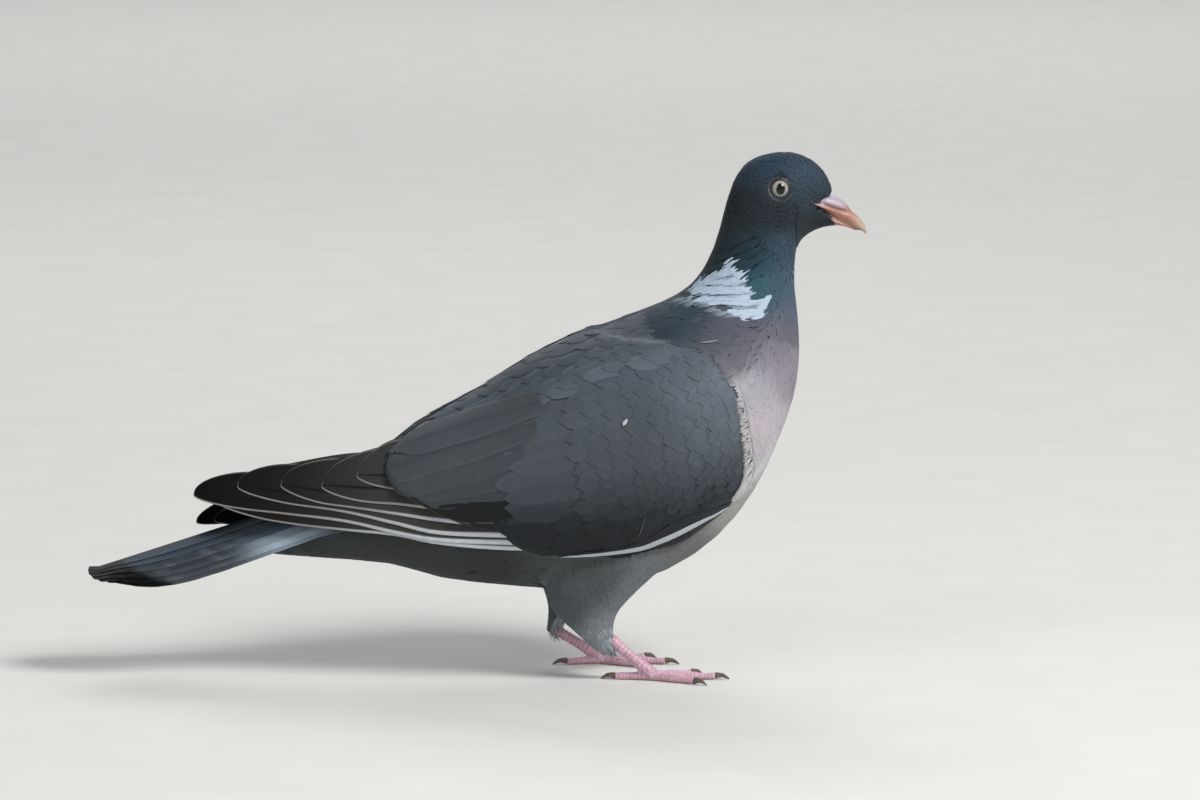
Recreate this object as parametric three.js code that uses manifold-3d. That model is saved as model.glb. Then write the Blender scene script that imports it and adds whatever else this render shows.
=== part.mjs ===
// A common wood pigeon (Columba palumbus) at life size, standing still with its wings folded: a museum model.
// Millimetres: +X towards the bill, +Y to the bird's left, +Z up, with the floor at z = 0.
//
// The body is drawn with ribs. Each rib runs from a point on the back's outline to a point on the belly's
// outline, and closed lofts over the ribs give the head, neck, trunk and rump. The folded wings lie on the
// same ribs, grown a little. Each side's folded flight feathers are one thin blade, and the tail is one
// arched sheet with the round ends of its twelve feathers.
import * as THREE from "three";
import { mergeVertices } from "three/addons/utils/BufferGeometryUtils.js";
import Module from "manifold-3d";

// ---------- Driving dimensions ----------

const CLEARANCE = 0.3; // between neighbouring pieces
const FAR = 400; // beyond the whole model, for the boxes that cut it
const FACETS = {
  body: { sides: 24, perRib: 2 },
  bill: { sides: 12, perRib: 1 },
  thigh: { sides: 16, perRib: 2 },
  tail: { across: 24, along: 4 },
  blade: 12,
  eye: 12,
  tarsus: { sides: 10, steps: 8 },
  toe: { sides: 8, steps: 6 },
  claw: { sides: 6, steps: 4 },
};

const EYE = { x: 62.1, y: 9.4, z: 220.3, radius: 5.3 };

// The tail is arched across; half is its half width and drop is how far its edges hang below its ridge.
const TAIL = {
  length: 150,
  slope: 18.1,
  tipRidge: 46.4,
  root: { half: 23, drop: 18.5 },
  tip: { half: 28, drop: 9 },
  spread: { from: -190, to: -250 }, // where it widens and flattens towards the tip
  thickness: 2.4,
  thinner: { tip: 0.55, edge: 0.5 }, // shares of the thickness that it loses towards them
  scallop: 1.8, // between the tips of neighbouring feathers
};
const WING = {
  rim: 1.9, // thickness at its edge
  swell: 2.4, // how much thicker it is further in
  ramp: 22, // from its edge to where it is as thick as that
  depth: 7, // most that it is thick over the rump
  middle: [-40, 95],
  margin: 1.013, // growth of its outline about its middle that clears it all round
};
const WING_NOTCH = { from: -72, to: -122, half: 15 }; // between the two wings, over the rump
// The folded flight feathers as one blade: its outer face bulges by bow, less where it is narrower than
// bowWidth.
const BLADE = { thickness: 3.2, slimmest: 0.3, bow: 1.2, bowWidth: 25, droopFrom: -105, droopLength: 95 };

const LEG_SPREAD = 23; // from the middle of the body to each leg
const TARSUS = { radius: 2.9, end: 1.12, waist: 0.3, cut: 6.2 }; // end and waist are shares of its radius
const FOOT_BALL = 3.3; // where the toes meet
const TOE = { radius: 2.5, root: 1.02, taper: 0.36, pad: 0.09, press: 0.8 }; // shares of its radius
const CLAW = { length: 6.5, radius: 1.25, blunt: 0.2, root: 1.75, arch: 1.9, tip: 0.12 };

// Ribs from the bill's base to the root of the tail: back and belly are points (x, z) of the outline, half is
// the body's half width there. wing is the back's point (x, z) and the half width where the folded wings lie
// over it.
const BODY_RIBS = [
  { at: "face", back: [87.6, 214.6], belly: [90.2, 203.6], half: 3.9 },
  { at: "forehead", back: [86.4, 218.4], belly: [88.2, 202.9], half: 5 },
  { at: "lores", back: [83.7, 225.6], belly: [82.6, 202.3], half: 6.3 },
  { at: "brow", back: [77.4, 232.4], belly: [76.6, 199.9], half: 8.5 },
  { at: "crown front", back: [68.4, 235.8], belly: [72.4, 196.6], half: 12.5 },
  { at: "crown", back: [57.8, 235.4], belly: [70.5, 192.9], half: 14.5 },
  { at: "crown back", back: [48, 231.4], belly: [69.9, 189.6], half: 15 },
  { at: "nape top", back: [41.9, 222.8], belly: [69.7, 185.8], half: 15 },
  { at: "nape", back: [38, 210.8], belly: [69.5, 180.9], half: 15.3 },
  { at: "neck", back: [34.8, 198.4], belly: [69.6, 174.2], half: 16.2 },
  { at: "neck base", back: [30.4, 187], belly: [70.6, 165.8], half: 18.4 },
  { at: "shoulder front", back: [22.8, 176.2], belly: [71.6, 154.4], half: 23 },
  { at: "mantle front", back: [10.4, 168.6], belly: [71.6, 140.6], half: 30.5 },
  { at: "mantle", back: [-7.6, 161.6], belly: [69.2, 125.2], half: 39, wing: [-7.6, 161.6, 41] },
  { at: "breast", back: [-29.3, 152.9], belly: [62.2, 105.2], half: 45.5, wing: [-29.3, 152.5, 49.5] },
  { at: "keel", back: [-50, 141], belly: [51.8, 83.2], half: 48, wing: [-48.3, 141.3, 52.5] },
  { at: "belly front", back: [-68, 126.6], belly: [35.4, 62.4], half: 46.8, wing: [-67.5, 128.5, 51.5] },
  { at: "belly", back: [-86, 112.6], belly: [12.5, 46.8], half: 42.5, wing: [-86.6, 118.8, 47.5] },
  { at: "belly back", back: [-102, 99.6], belly: [-18, 38.2], half: 36.5, wing: [-102.4, 111.3, 42] },
  { at: "vent", back: [-115, 91], belly: [-55, 39.6], half: 30.5, wing: [-114.6, 103.5, 36.5] },
  { at: "rump", back: [-126, 86], belly: [-88, 43.2], half: 26, wing: [-128, 97.5, 32] },
  { at: "tail coverts", back: [-139, 81.4], belly: [-112, 49.8], half: 22.5, wing: [-142, 95, 28] },
  { at: "tail root", back: [-153, 76.4], belly: [-146, 52.6], half: 19.5, wing: [-156, 90, 25] },
  { at: "undertail", back: [-170, 70.5], belly: [-168, 54.4], half: 15.5, wing: [-170, 84, 18] },
  { at: "undertail tips", back: [-186, 64.5], belly: [-186, 57], half: 10, wing: [-184, 78, 11] },
];
const HEAD_END = 7.6; // positions along the ribs where one piece ends and the next begins
const NECK_END = 11;
const TRUNK_END = 19;
const WING_FROM = 11;

// Outline of the folded wing seen from the side (x, z), from the shoulder down its front edge and back along
// the lower edge to the ends of the long inner feathers, then forward over the back.
const WING_OUTLINE = [
  [42, 145], [46, 128], [49.3, 111], [51, 97], [48, 87], [40, 79], [31.5, 74], [21, 69], [10, 64.4], [-3, 61],
  [-18, 58.6], [-34, 57.4], [-47, 58.8], [-56, 63], [-63, 69], [-80, 72], [-98, 80], [-109, 86], [-113.5, 94],
  [-113, 102], [-108, 116], [-92, 138], [-60, 158], [-30, 158], [-8, 154.6], [12, 154], [30, 151.5],
];
// The blade of flight feathers from its tip forward: its lower and its upper edge (y, z) at each x.
const BLADE_RIBS = [
  { x: -200, lower: [10.5, 80.5], upper: [9.5, 81.5] },
  { x: -197, lower: [13, 78], upper: [7.5, 84.5] },
  { x: -191, lower: [15, 76.5], upper: [6.5, 87] },
  { x: -180, lower: [19, 74], upper: [6, 90] },
  { x: -155, lower: [25.5, 70.5], upper: [6, 94.5] },
  { x: -117, lower: [31, 67.5], upper: [11, 102.5] },
  { x: -104, lower: [34, 66], upper: [17.5, 104.5] },
  { x: -90, lower: [35.5, 64], upper: [26.5, 104.5] },
  { x: -75, lower: [36.5, 62.5], upper: [32.5, 101.5] },
  { x: -54, lower: [37, 61], upper: [35, 96.5] },
];
// Ends of one side's six tail feathers (x), from the middle outwards.
const TAIL_TIPS = [-249.2, -248.6, -247.2, -244.2, -238.6, -230];

// Ribs of each feathered thigh, from inside the trunk down to the ankle; y counts from the middle of the leg.
const RIGHT_THIGH_RIBS = [
  { back: [-43, 60], belly: [27, 64], half: 17, y: -4 },
  { back: [-43, 47], belly: [15.5, 55], half: 16.5, y: -3 },
  { back: [-42.5, 38], belly: [4, 45], half: 15, y: -2 },
  { back: [-38.6, 30.6], belly: [-4, 37.5], half: 12, y: -1 },
  { back: [-32, 24.2], belly: [-9.6, 31.2], half: 9, y: 0 },
  { back: [-25.8, 18.6], belly: [-11.7, 25.2], half: 6.6, y: 0 },
  { back: [-20.6, 13.8], belly: [-12.0, 19.4], half: 4.5, y: 0 },
  { back: [-17.2, 11.4], belly: [-12.4, 14.8], half: 2.2, y: 0 },
];
const LEFT_THIGH_RIBS = [
  { back: [-50, 59], belly: [4, 62], half: 17, y: -4 },
  { back: [-48.5, 48], belly: [-2, 52], half: 16, y: -3 },
  { back: [-46, 39.5], belly: [-10, 43], half: 14, y: -2 },
  { back: [-43, 32.5], belly: [-17.6, 36.5], half: 11, y: -1 },
  { back: [-41.6, 26.4], belly: [-25.4, 30.6], half: 8, y: 0 },
  { back: [-41.8, 20.8], belly: [-32, 25], half: 5.8, y: 0 },
  { back: [-42.4, 15.8], belly: [-36.4, 19.6], half: 4.2, y: 0 },
  { back: [-42, 13], belly: [-38.8, 15], half: 2, y: 0 },
];

// Bill: the upper half from the hooked tip back to the forehead, and the lower half below it.
const UPPER_BILL_RIBS = [
  { back: [101.8, 197.8], belly: [101.2, 197.6], half: 0.5 },
  { back: [101.6, 200.4], belly: [100, 198.8], half: 1.5 },
  { back: [100.6, 203.2], belly: [98.4, 200.2], half: 2.3 },
  { back: [98.4, 206.4], belly: [96, 201.4], half: 2.9 },
  { back: [95.2, 209.0], belly: [93.2, 203.4], half: 3.4 },
  { back: [91.6, 211.2], belly: [90.0, 205.2], half: 4.1 },
  { back: [87.0, 212.4], belly: [85.8, 207.0], half: 5.2 },
  { back: [82.6, 213.2], belly: [81.4, 209.4], half: 6.8 },
  { back: [78.6, 213.9], belly: [78.0, 211.6], half: 8.3 },
  { back: [74.4, 214.6], belly: [74.2, 213.6], half: 8.9 },
];
const LOWER_BILL_RIBS = [
  { back: [98.2, 199.6], belly: [98.2, 199.2], half: 0.8 },
  { back: [96, 200.9], belly: [96.2, 199.3], half: 1.9 },
  { back: [93.4, 203.1], belly: [93.8, 200.5], half: 2.6 },
  { back: [90.0, 204.9], belly: [90.6, 201.9], half: 3.2 },
  { back: [86, 206.7], belly: [86.6, 203.2], half: 4.2 },
  { back: [81.6, 209.1], belly: [81.8, 206.4], half: 6.4 },
  { back: [77.6, 211.4], belly: [77.4, 209.8], half: 8.3 },
  { back: [74, 213.2], belly: [74, 212.3], half: 8.6 },
];
const CERE_RIBS = [
  { back: [94.6, 209.7], belly: [94.1, 208.9], half: 1.0 },
  { back: [93.4, 211.5], belly: [91.8, 208.2], half: 3.2 },
  { back: [91.0, 214.1], belly: [88.8, 208.6], half: 4.7 },
  { back: [87.6, 216.0], belly: [85.4, 209.9], half: 5.8 },
  { back: [84.2, 216.6], belly: [82.6, 211.2], half: 6.6 },
  { back: [81.0, 215.8], belly: [80.2, 212.4], half: 6.6 },
];

const TOES = [
  { name: "hallux", length: 16.5, heading: 172, joints: 1 },
  { name: "inner_toe", length: 21, heading: 34, joints: 2 },
  { name: "middle_toe", length: 28, heading: 4, joints: 3 },
  { name: "outer_toe", length: 22, heading: -32, joints: 4 },
];

// The two sides differ in where the foot stands and in how low the folded wing tip hangs.
const SIDES = [
  { name: "left", sign: 1, ankle: [-41, 16.8], foot: -16.5, thigh: LEFT_THIGH_RIBS, wingDrop: 15 },
  { name: "right", sign: -1, ankle: [-14.5, 19.5], foot: 5.5, thigh: RIGHT_THIGH_RIBS, wingDrop: 0 },
];

// ---------- Materials ----------

const finish = (color, roughness) => new THREE.MeshStandardMaterial({ color, roughness, metalness: 0 });
const MATERIALS = {
  headPlumage: finish("#3f5262", 0.8),
  neckPlumage: finish("#4d6470", 0.75),
  bodyPlumage: finish("#8d8c92", 0.85),
  rumpPlumage: finish("#75808a", 0.85),
  wingPlumage: finish("#666d74", 0.8),
  flightFeather: finish("#2f2d2c", 0.65),
  tailFeather: finish("#5c6874", 0.7),
  bill: finish("#c58e78", 0.45),
  cere: finish("#d9cdd3", 0.6),
  eye: finish("#c9c9a8", 0.1),
  leg: finish("#b9707c", 0.6),
  claw: finish("#3c3634", 0.45),
};

// ---------- Solids ----------

const { clamp, degToRad, lerp, smoothstep } = THREE.MathUtils;
const wasm = await Module();
wasm.setup();

// A closed geometry as a solid that can be joined and cut.
function solidOf(geometry) {
  const bare = new THREE.BufferGeometry();
  bare.setAttribute("position", geometry.getAttribute("position"));
  bare.setIndex(geometry.getIndex());
  const merged = mergeVertices(bare, 1e-4);
  return new wasm.Manifold(
    new wasm.Mesh({
      numProp: 3,
      vertProperties: new Float32Array(merged.attributes.position.array),
      triVerts: new Uint32Array(merged.index.array),
    }),
  );
}

function geometryOf(solid) {
  const { vertProperties, triVerts } = solid.getMesh();
  const geometry = new THREE.BufferGeometry();
  geometry.setAttribute("position", new THREE.BufferAttribute(vertProperties, 3));
  geometry.setIndex(new THREE.BufferAttribute(triVerts, 1));
  geometry.computeVertexNormals();
  return geometry;
}

// A closed tube of rings, with a flat fan at each end. ringPoint(i, angle) gives the points, counted so that
// the rings turn clockwise when looked at along the tube.
function tubeGeometry(rings, sides, ringPoint, ringMiddle) {
  const points = [];
  const index = [];
  for (let i = 0; i < rings; i++)
    for (let j = 0; j < sides; j++) points.push(ringPoint(i, (j / sides) * 2 * Math.PI));
  const at = (i, j) => i * sides + (j % sides);
  for (let i = 0; i + 1 < rings; i++)
    for (let j = 0; j < sides; j++)
      index.push(at(i, j), at(i, j + 1), at(i + 1, j), at(i, j + 1), at(i + 1, j + 1), at(i + 1, j));
  for (const [i, turned] of [[0, true], [rings - 1, false]]) {
    const middle = points.push(ringMiddle(i)) - 1;
    for (let j = 0; j < sides; j++)
      index.push(middle, ...(turned ? [at(i, j + 1), at(i, j)] : [at(i, j), at(i, j + 1)]));
  }
  const geometry = new THREE.BufferGeometry().setFromPoints(points);
  geometry.setIndex(index);
  return geometry;
}

// The smooth lines through a list of ribs, and the loft over them.
class RibLoft {
  constructor(ribs) {
    this.count = ribs.length - 1;
    this.back = new THREE.SplineCurve(ribs.map((rib) => new THREE.Vector2(...rib.back)));
    this.belly = new THREE.SplineCurve(ribs.map((rib) => new THREE.Vector2(...rib.belly)));
    this.girth = new THREE.SplineCurve(ribs.map((rib) => new THREE.Vector2(rib.half, rib.y ?? 0)));
  }

  // The point at an angle round the rib, from the back at 0; grow moves it outwards, by a length or by a rule
  // (x, z).
  point(position, angle, grow = 0) {
    const share = position / this.count;
    const back = this.back.getPoint(share);
    const belly = this.belly.getPoint(share);
    const { x: half, y: side } = this.girth.getPoint(share);
    const middle = back.clone().lerp(belly, 0.5);
    const reach = back.distanceTo(belly) / 2;
    const toBack = back.clone().sub(middle).normalize();
    const raised = middle.clone().addScaledVector(toBack, Math.cos(angle) * reach);
    const more = typeof grow === "function" ? grow(raised.x, raised.y) : grow;
    const height = Math.cos(angle) * (reach + more);
    const width = Math.sin(angle) * (half + more);
    return new THREE.Vector3(middle.x + toBack.x * height, side + width, middle.y + toBack.y * height);
  }

  solid(options = {}) {
    const { from = 0, to = this.count, grow = 0, sides, perRib } = { ...FACETS.body, ...options };
    const rings = Math.max(2, Math.round((to - from) * perRib) + 1);
    const position = (i) => from + ((to - from) * i) / (rings - 1);
    const middle = (i) => this.point(position(i), 0, grow).lerp(this.point(position(i), Math.PI, grow), 0.5);
    return solidOf(tubeGeometry(rings, sides, (i, angle) => this.point(position(i), angle, grow), middle));
  }
}

// A round tube along a curve, with a radius that changes along it.
function roundTube(points, radiusAt, { steps, sides }) {
  const path = new THREE.CatmullRomCurve3(points.map((p) => new THREE.Vector3(...p)), false, "centripetal");
  const frames = Array.from({ length: steps + 1 }, (_, i) => {
    const along = path.getTangentAt(i / steps);
    const side = new THREE.Vector3(0, 1, 0).addScaledVector(along, -along.y).normalize();
    return { centre: path.getPointAt(i / steps), side, over: along.clone().cross(side) };
  });
  const ringPoint = (i, angle) => {
    const { centre, side, over } = frames[i];
    const radius = radiusAt(i / steps);
    return centre
      .clone()
      .addScaledVector(over, Math.cos(angle) * radius)
      .addScaledVector(side, -Math.sin(angle) * radius);
  };
  return solidOf(tubeGeometry(steps + 1, sides, ringPoint, (i) => frames[i].centre.clone()));
}

function ball(radius, x, y, z, sides) {
  const geometry = new THREE.SphereGeometry(radius, sides, Math.round(sides / 2) + 1);
  geometry.rotateX(Math.PI / 2);
  geometry.translate(x, y, z);
  return solidOf(geometry);
}

function box(low, high) {
  const size = new THREE.Vector3(...high).sub(new THREE.Vector3(...low));
  const geometry = new THREE.BoxGeometry(size.x, size.y, size.z);
  geometry.translate(low[0] + size.x / 2, low[1] + size.y / 2, low[2] + size.z / 2);
  return solidOf(geometry);
}

// A flat outline (x, z) as a slab that reaches from y = low to y = high.
function slab(outline, low, high) {
  const curve = new THREE.SplineCurve([...outline, outline[0]].map((p) => new THREE.Vector2(...p)));
  const shape = new THREE.Shape(curve.getPoints(outline.length * 2));
  const geometry = new THREE.ExtrudeGeometry(shape, { depth: high - low, bevelEnabled: false });
  geometry.rotateX(Math.PI / 2);
  geometry.translate(0, high, 0);
  return solidOf(geometry);
}

const joined = (solids) => solids.reduce((all, next) => all.add(next));
const largest = (solid) => solid.decompose().sort((a, b) => b.volume() - a.volume())[0];

// ---------- Bill ----------

const cere = new RibLoft(CERE_RIBS);
const upperBill = new RibLoft(UPPER_BILL_RIBS);
const lowerBill = new RibLoft(LOWER_BILL_RIBS);
const plain = (loft) => loft.solid(FACETS.bill);
const grown = (loft) => loft.solid({ ...FACETS.bill, grow: CLEARANCE });
const upperBillSolid = () => largest(plain(upperBill).subtract(grown(cere)));
const lowerBillSolid = () => largest(plain(lowerBill).subtract(grown(upperBill)).subtract(grown(cere)));

// ---------- Body ----------

const body = new RibLoft(BODY_RIBS);
const grownBody = body.solid({ grow: CLEARANCE });

const eyeBall = (radius) => ball(radius, EYE.x, EYE.y, EYE.z, FACETS.eye);

const cutGap = CLEARANCE / 10; // a cut between two ribs, as a share of the distance from rib to rib
function headSolid() {
  const socket = eyeBall(EYE.radius + CLEARANCE);
  return largest(
    body
      .solid({ to: HEAD_END })
      .subtract(joined([socket, socket.mirror([0, 1, 0])]))
      .subtract(joined([grown(cere), grown(upperBill), grown(lowerBill)])),
  );
}
const neckSolid = () => body.solid({ from: HEAD_END + 2 * cutGap, to: NECK_END });
const trunkSolid = () => body.solid({ from: NECK_END + cutGap, to: TRUNK_END });
const rumpSolid = () => body.solid({ from: TRUNK_END + cutGap });

// ---------- Tail ----------

// An arched sheet of twelve feathers: across it runs from the right edge (-1) to the left edge (1), and along
// it from the root (0) to the feathers' round tips (1). grow makes it thicker on both faces and wider.
function tailSheet(grow = 0) {
  const { across: acrossSteps, along: alongSteps } = FACETS.tail;
  const slope = Math.tan(degToRad(TAIL.slope));
  const tipAt = (across) => {
    const place = Math.min(Math.abs(across) * TAIL_TIPS.length, TAIL_TIPS.length - 1e-6);
    const feather = Math.floor(place);
    const fromShaft = Math.abs((place - feather) * 2 - 1);
    return TAIL_TIPS[feather] + TAIL.scallop * fromShaft ** 2;
  };
  const surface = (across, along, depth) => {
    const root = TAIL_TIPS[0] + TAIL.length;
    const x = lerp(root, tipAt(across), along);
    const share = smoothstep(-x, -TAIL.spread.from, -TAIL.spread.to);
    const half = lerp(TAIL.root.half, TAIL.tip.half, share);
    const drop = lerp(TAIL.root.drop, TAIL.tip.drop, share);
    const radius = (half ** 2 + drop ** 2) / (2 * drop);
    const turn = 2 * Math.atan(drop / half) * across;
    const ridge = TAIL.tipRidge + (x - TAIL_TIPS[0]) * slope;
    const out = radius - depth;
    return new THREE.Vector3(x, Math.sin(turn) * out, ridge - radius + Math.cos(turn) * out);
  };
  const points = [];
  for (const under of [false, true])
    for (let i = 0; i <= alongSteps; i++)
      for (let j = 0; j <= acrossSteps; j++) {
        const across = (2 * j) / acrossSteps - 1;
        const along = i / alongSteps;
        const thick = TAIL.thickness * (1 - TAIL.thinner.tip * along) * (1 - TAIL.thinner.edge * across ** 2);
        points.push(surface(across * (1 + grow / TAIL.root.half), along, under ? thick + grow : -grow));
      }
  const row = acrossSteps + 1;
  const layer = row * (alongSteps + 1);
  const index = [];
  const quad = (a, b, c, d) => index.push(a, c, b, a, d, c);
  for (let i = 0; i < alongSteps; i++)
    for (let j = 0; j < acrossSteps; j++) {
      const a = i * row + j;
      quad(a, a + row, a + row + 1, a + 1);
      quad(a + layer, a + layer + 1, a + layer + row + 1, a + layer + row);
    }
  for (let i = 0; i < alongSteps; i++) {
    const a = i * row;
    const b = a + acrossSteps;
    quad(a, a + layer, a + layer + row, a + row);
    quad(b, b + row, b + layer + row, b + layer);
  }
  for (let j = 0; j < acrossSteps; j++) {
    const a = j;
    const b = alongSteps * row + j;
    quad(a, a + 1, a + 1 + layer, a + layer);
    quad(b, b + layer, b + 1 + layer, b + 1);
  }
  const geometry = new THREE.BufferGeometry().setFromPoints(points);
  geometry.setIndex(index);
  return solidOf(geometry);
}

const tailSolid = () => largest(tailSheet().subtract(grownBody));
const tailSpace = tailSheet(CLEARANCE);

// ---------- Wings ----------

// Distance from (x, z) to the wing's outline, in mm, where it is inside; nothing outside.
function insideWing(x, z) {
  let nearest = Infinity;
  let inside = false;
  WING_OUTLINE.forEach(([ax, az], i) => {
    const [bx, bz] = WING_OUTLINE[(i + 1) % WING_OUTLINE.length];
    const share = clamp(
      ((x - ax) * (bx - ax) + (z - az) * (bz - az)) / ((bx - ax) ** 2 + (bz - az) ** 2), 0, 1);
    nearest = Math.min(nearest, Math.hypot(ax + share * (bx - ax) - x, az + share * (bz - az) - z));
    if (az > z !== bz > z && x < ax + ((z - az) / (bz - az)) * (bx - ax)) inside = !inside;
  });
  return inside ? nearest : 0;
}

const cloak = new RibLoft(
  BODY_RIBS.map((rib) => (rib.wing ? { ...rib, back: rib.wing.slice(0, 2), half: rib.wing[2] } : rib)),
);
const wingThickness = (x, z) => WING.rim + WING.swell * smoothstep(insideWing(x, z), 0, WING.ramp);

function foldedWing() {
  const cloakShell = cloak
    .solid({ from: WING_FROM, grow: wingThickness })
    .subtract(cloak.solid({ from: WING_FROM, grow: -WING.depth }));
  const notch = new THREE.Shape([
    new THREE.Vector2(WING_NOTCH.from, 0),
    new THREE.Vector2(WING_NOTCH.to, WING_NOTCH.half),
    new THREE.Vector2(WING_NOTCH.to, -WING_NOTCH.half),
  ]);
  const notchPrism = solidOf(new THREE.ExtrudeGeometry(notch, { depth: FAR, bevelEnabled: false }));
  return largest(
    cloakShell.intersect(slab(WING_OUTLINE, CLEARANCE, FAR)).subtract(grownBody).subtract(notchPrism),
  );
}

// The folded wing with its clearance all round, for cutting what lies against it.
const clearOf = (value, middle) => middle + (value - middle) * WING.margin;
const clearOutline = WING_OUTLINE.map(([x, z]) => [clearOf(x, WING.middle[0]), clearOf(z, WING.middle[1])]);
const wingSpace = cloak
  .solid({ from: WING_FROM, grow: (x, z) => wingThickness(x, z) + CLEARANCE })
  .subtract(cloak.solid({ from: WING_FROM, grow: -WING.depth - CLEARANCE }))
  .intersect(slab(clearOutline, -CLEARANCE, FAR));

// The folded flight feathers, lying one on the other along the flank and over the tail. drop lowers their
// tips.
function foldedPrimaries(drop) {
  const lowered = (x, z) => z - drop * clamp((BLADE.droopFrom - x) / BLADE.droopLength, 0, 1) ** 1.4;
  const ribs = BLADE_RIBS.map(({ x, lower, upper }) => {
    const low = new THREE.Vector3(x, lower[0], lowered(x, lower[1]));
    const high = new THREE.Vector3(x, upper[0], lowered(x, upper[1]));
    const outward = new THREE.Vector3(0, high.z - low.z, low.y - high.y).normalize();
    return { low, high, outward };
  });
  const ringPoint = (i, angle) => {
    const { low, high, outward } = ribs[i];
    const wide = low.distanceTo(high);
    const thick = Math.min(BLADE.thickness, wide * BLADE.slimmest) / 2;
    const bow = BLADE.bow * Math.min(wide / BLADE.bowWidth, 1);
    return low
      .clone()
      .lerp(high, 0.5 + 0.5 * Math.cos(angle))
      .addScaledVector(outward, -Math.sin(angle) * thick + Math.sin(angle) ** 2 * bow);
  };
  const blade = solidOf(
    tubeGeometry(ribs.length, FACETS.blade, ringPoint, (i) => ribs[i].low.clone().lerp(ribs[i].high, 0.5)),
  );
  return largest(blade.subtract(wingSpace).subtract(grownBody).subtract(tailSpace));
}

// ---------- Legs ----------

function legSolids(side) {
  const thighLoft = new RibLoft(side.thigh.map((rib) => ({ ...rib, y: LEG_SPREAD + rib.y })));
  const [ankleX, ankleZ] = side.ankle;
  const shank = roundTube(
    [
      [ankleX - 1, LEG_SPREAD, ankleZ + 1],
      [(ankleX + side.foot) / 2 - 1, LEG_SPREAD, (ankleZ + TOE.radius) / 2 + 1],
      [side.foot, LEG_SPREAD, TOE.radius],
    ],
    (along) => TARSUS.radius * (TARSUS.end - TARSUS.waist * Math.sin(Math.PI * Math.min(along * 1.1, 1))),
    FACETS.tarsus,
  );
  const above = box([-FAR, -FAR, TARSUS.cut], [FAR, FAR, FAR]);
  const below = box([-FAR, -FAR, 0], [FAR, FAR, TARSUS.cut - CLEARANCE]);
  const thigh = thighLoft.solid(FACETS.thigh).subtract(grownBody).subtract(wingSpace);
  const tarsus = shank.intersect(above).subtract(thighLoft.solid({ ...FACETS.thigh, grow: CLEARANCE }));
  const toes = TOES.map((toe) => toeSolids(toe, side));
  const ballOfFoot = ball(FOOT_BALL, side.foot, LEG_SPREAD, FOOT_BALL * TOE.press, FACETS.tarsus.sides);
  const foot = joined([shank, ballOfFoot, ...toes.map(({ toe }) => toe)]).intersect(below);
  const claws = toes.map(({ name, claw }) => ({ name, solid: claw }));
  return { thigh: largest(thigh), tarsus: largest(tarsus), foot, claws };
}

// A toe along +X with its pads, pressed a little flat where it stands, and the claw a gap in front of it,
// whose tip rests on the floor. Both are then turned to the toe's heading and moved to the foot.
function toeSolids({ name, length, heading, joints }, side) {
  const slimming = (along) => TOE.root - TOE.taper * along;
  const pads = (along) => TOE.pad * Math.cos(2 * Math.PI * joints * along);
  const thirds = [0, 1 / 3, 2 / 3, 1];
  const path = thirds.map((share) => [length * share, 0, TOE.radius * slimming(share) * TOE.press]);
  const toe = roundTube(path, (along) => TOE.radius * (slimming(along) + pads(along)), FACETS.toe);
  const start = length + CLEARANCE;
  const claw = roundTube(
    [[start, 0, CLAW.root], [start + CLAW.length / 2, 0, CLAW.arch], [start + CLAW.length, 0, CLAW.tip]],
    (along) => CLAW.radius * (1 - along) ** 0.7 + CLAW.blunt,
    FACETS.claw,
  ).intersect(box([-FAR, -FAR, 0], [FAR, FAR, FAR]));
  const place = (solid) => solid.rotate([0, 0, -heading]).translate([side.foot, LEG_SPREAD, 0]);
  return { name, toe: place(toe), claw: place(claw) };
}

// ---------- The model ----------

const pigeon = new THREE.Group();

function add(name, solid, material, sign = 1) {
  const mesh = new THREE.Mesh(geometryOf(solid), material);
  mesh.name = name;
  mesh.scale.y = sign;
  pigeon.add(mesh);
}

add("head", headSolid(), MATERIALS.headPlumage);
add("neck", neckSolid(), MATERIALS.neckPlumage);
add("trunk", trunkSolid(), MATERIALS.bodyPlumage);
add("rump", rumpSolid(), MATERIALS.rumpPlumage);
add("tail", tailSolid(), MATERIALS.tailFeather);
add("cere", plain(cere), MATERIALS.cere);
add("bill_upper", upperBillSolid(), MATERIALS.bill);
add("bill_lower", lowerBillSolid(), MATERIALS.bill);

const wing = foldedWing();
for (const side of SIDES) {
  const { thigh, tarsus, foot, claws } = legSolids(side);
  add(`eye_${side.name}`, eyeBall(EYE.radius), MATERIALS.eye, side.sign);
  add(`wing_${side.name}`, wing, MATERIALS.wingPlumage, side.sign);
  add(`primaries_${side.name}`, foldedPrimaries(side.wingDrop), MATERIALS.flightFeather, side.sign);
  add(`thigh_${side.name}`, thigh, MATERIALS.bodyPlumage, side.sign);
  add(`tarsus_${side.name}`, tarsus, MATERIALS.leg, side.sign);
  add(`foot_${side.name}`, foot, MATERIALS.leg, side.sign);
  for (const claw of claws) add(`claw_${claw.name}_${side.name}`, claw.solid, MATERIALS.claw, side.sign);
}

// The origin is on the floor, under the middle of the model's bounding box.
const bounds = new THREE.Box3().setFromObject(pigeon);
const middle = bounds.getCenter(new THREE.Vector3());
pigeon.position.set(-middle.x, -middle.y, -bounds.min.z);

export default pigeon;
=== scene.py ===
"""A life-size museum model of a common wood pigeon, standing: skin, plumage, eyes, bill, legs and stage."""

import math
import random

import bmesh
import bpy
import numpy as np
from bpy.props import FloatProperty, FloatVectorProperty, IntProperty, PointerProperty
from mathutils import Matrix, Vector, noise
from mathutils.bvhtree import BVHTree


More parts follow.
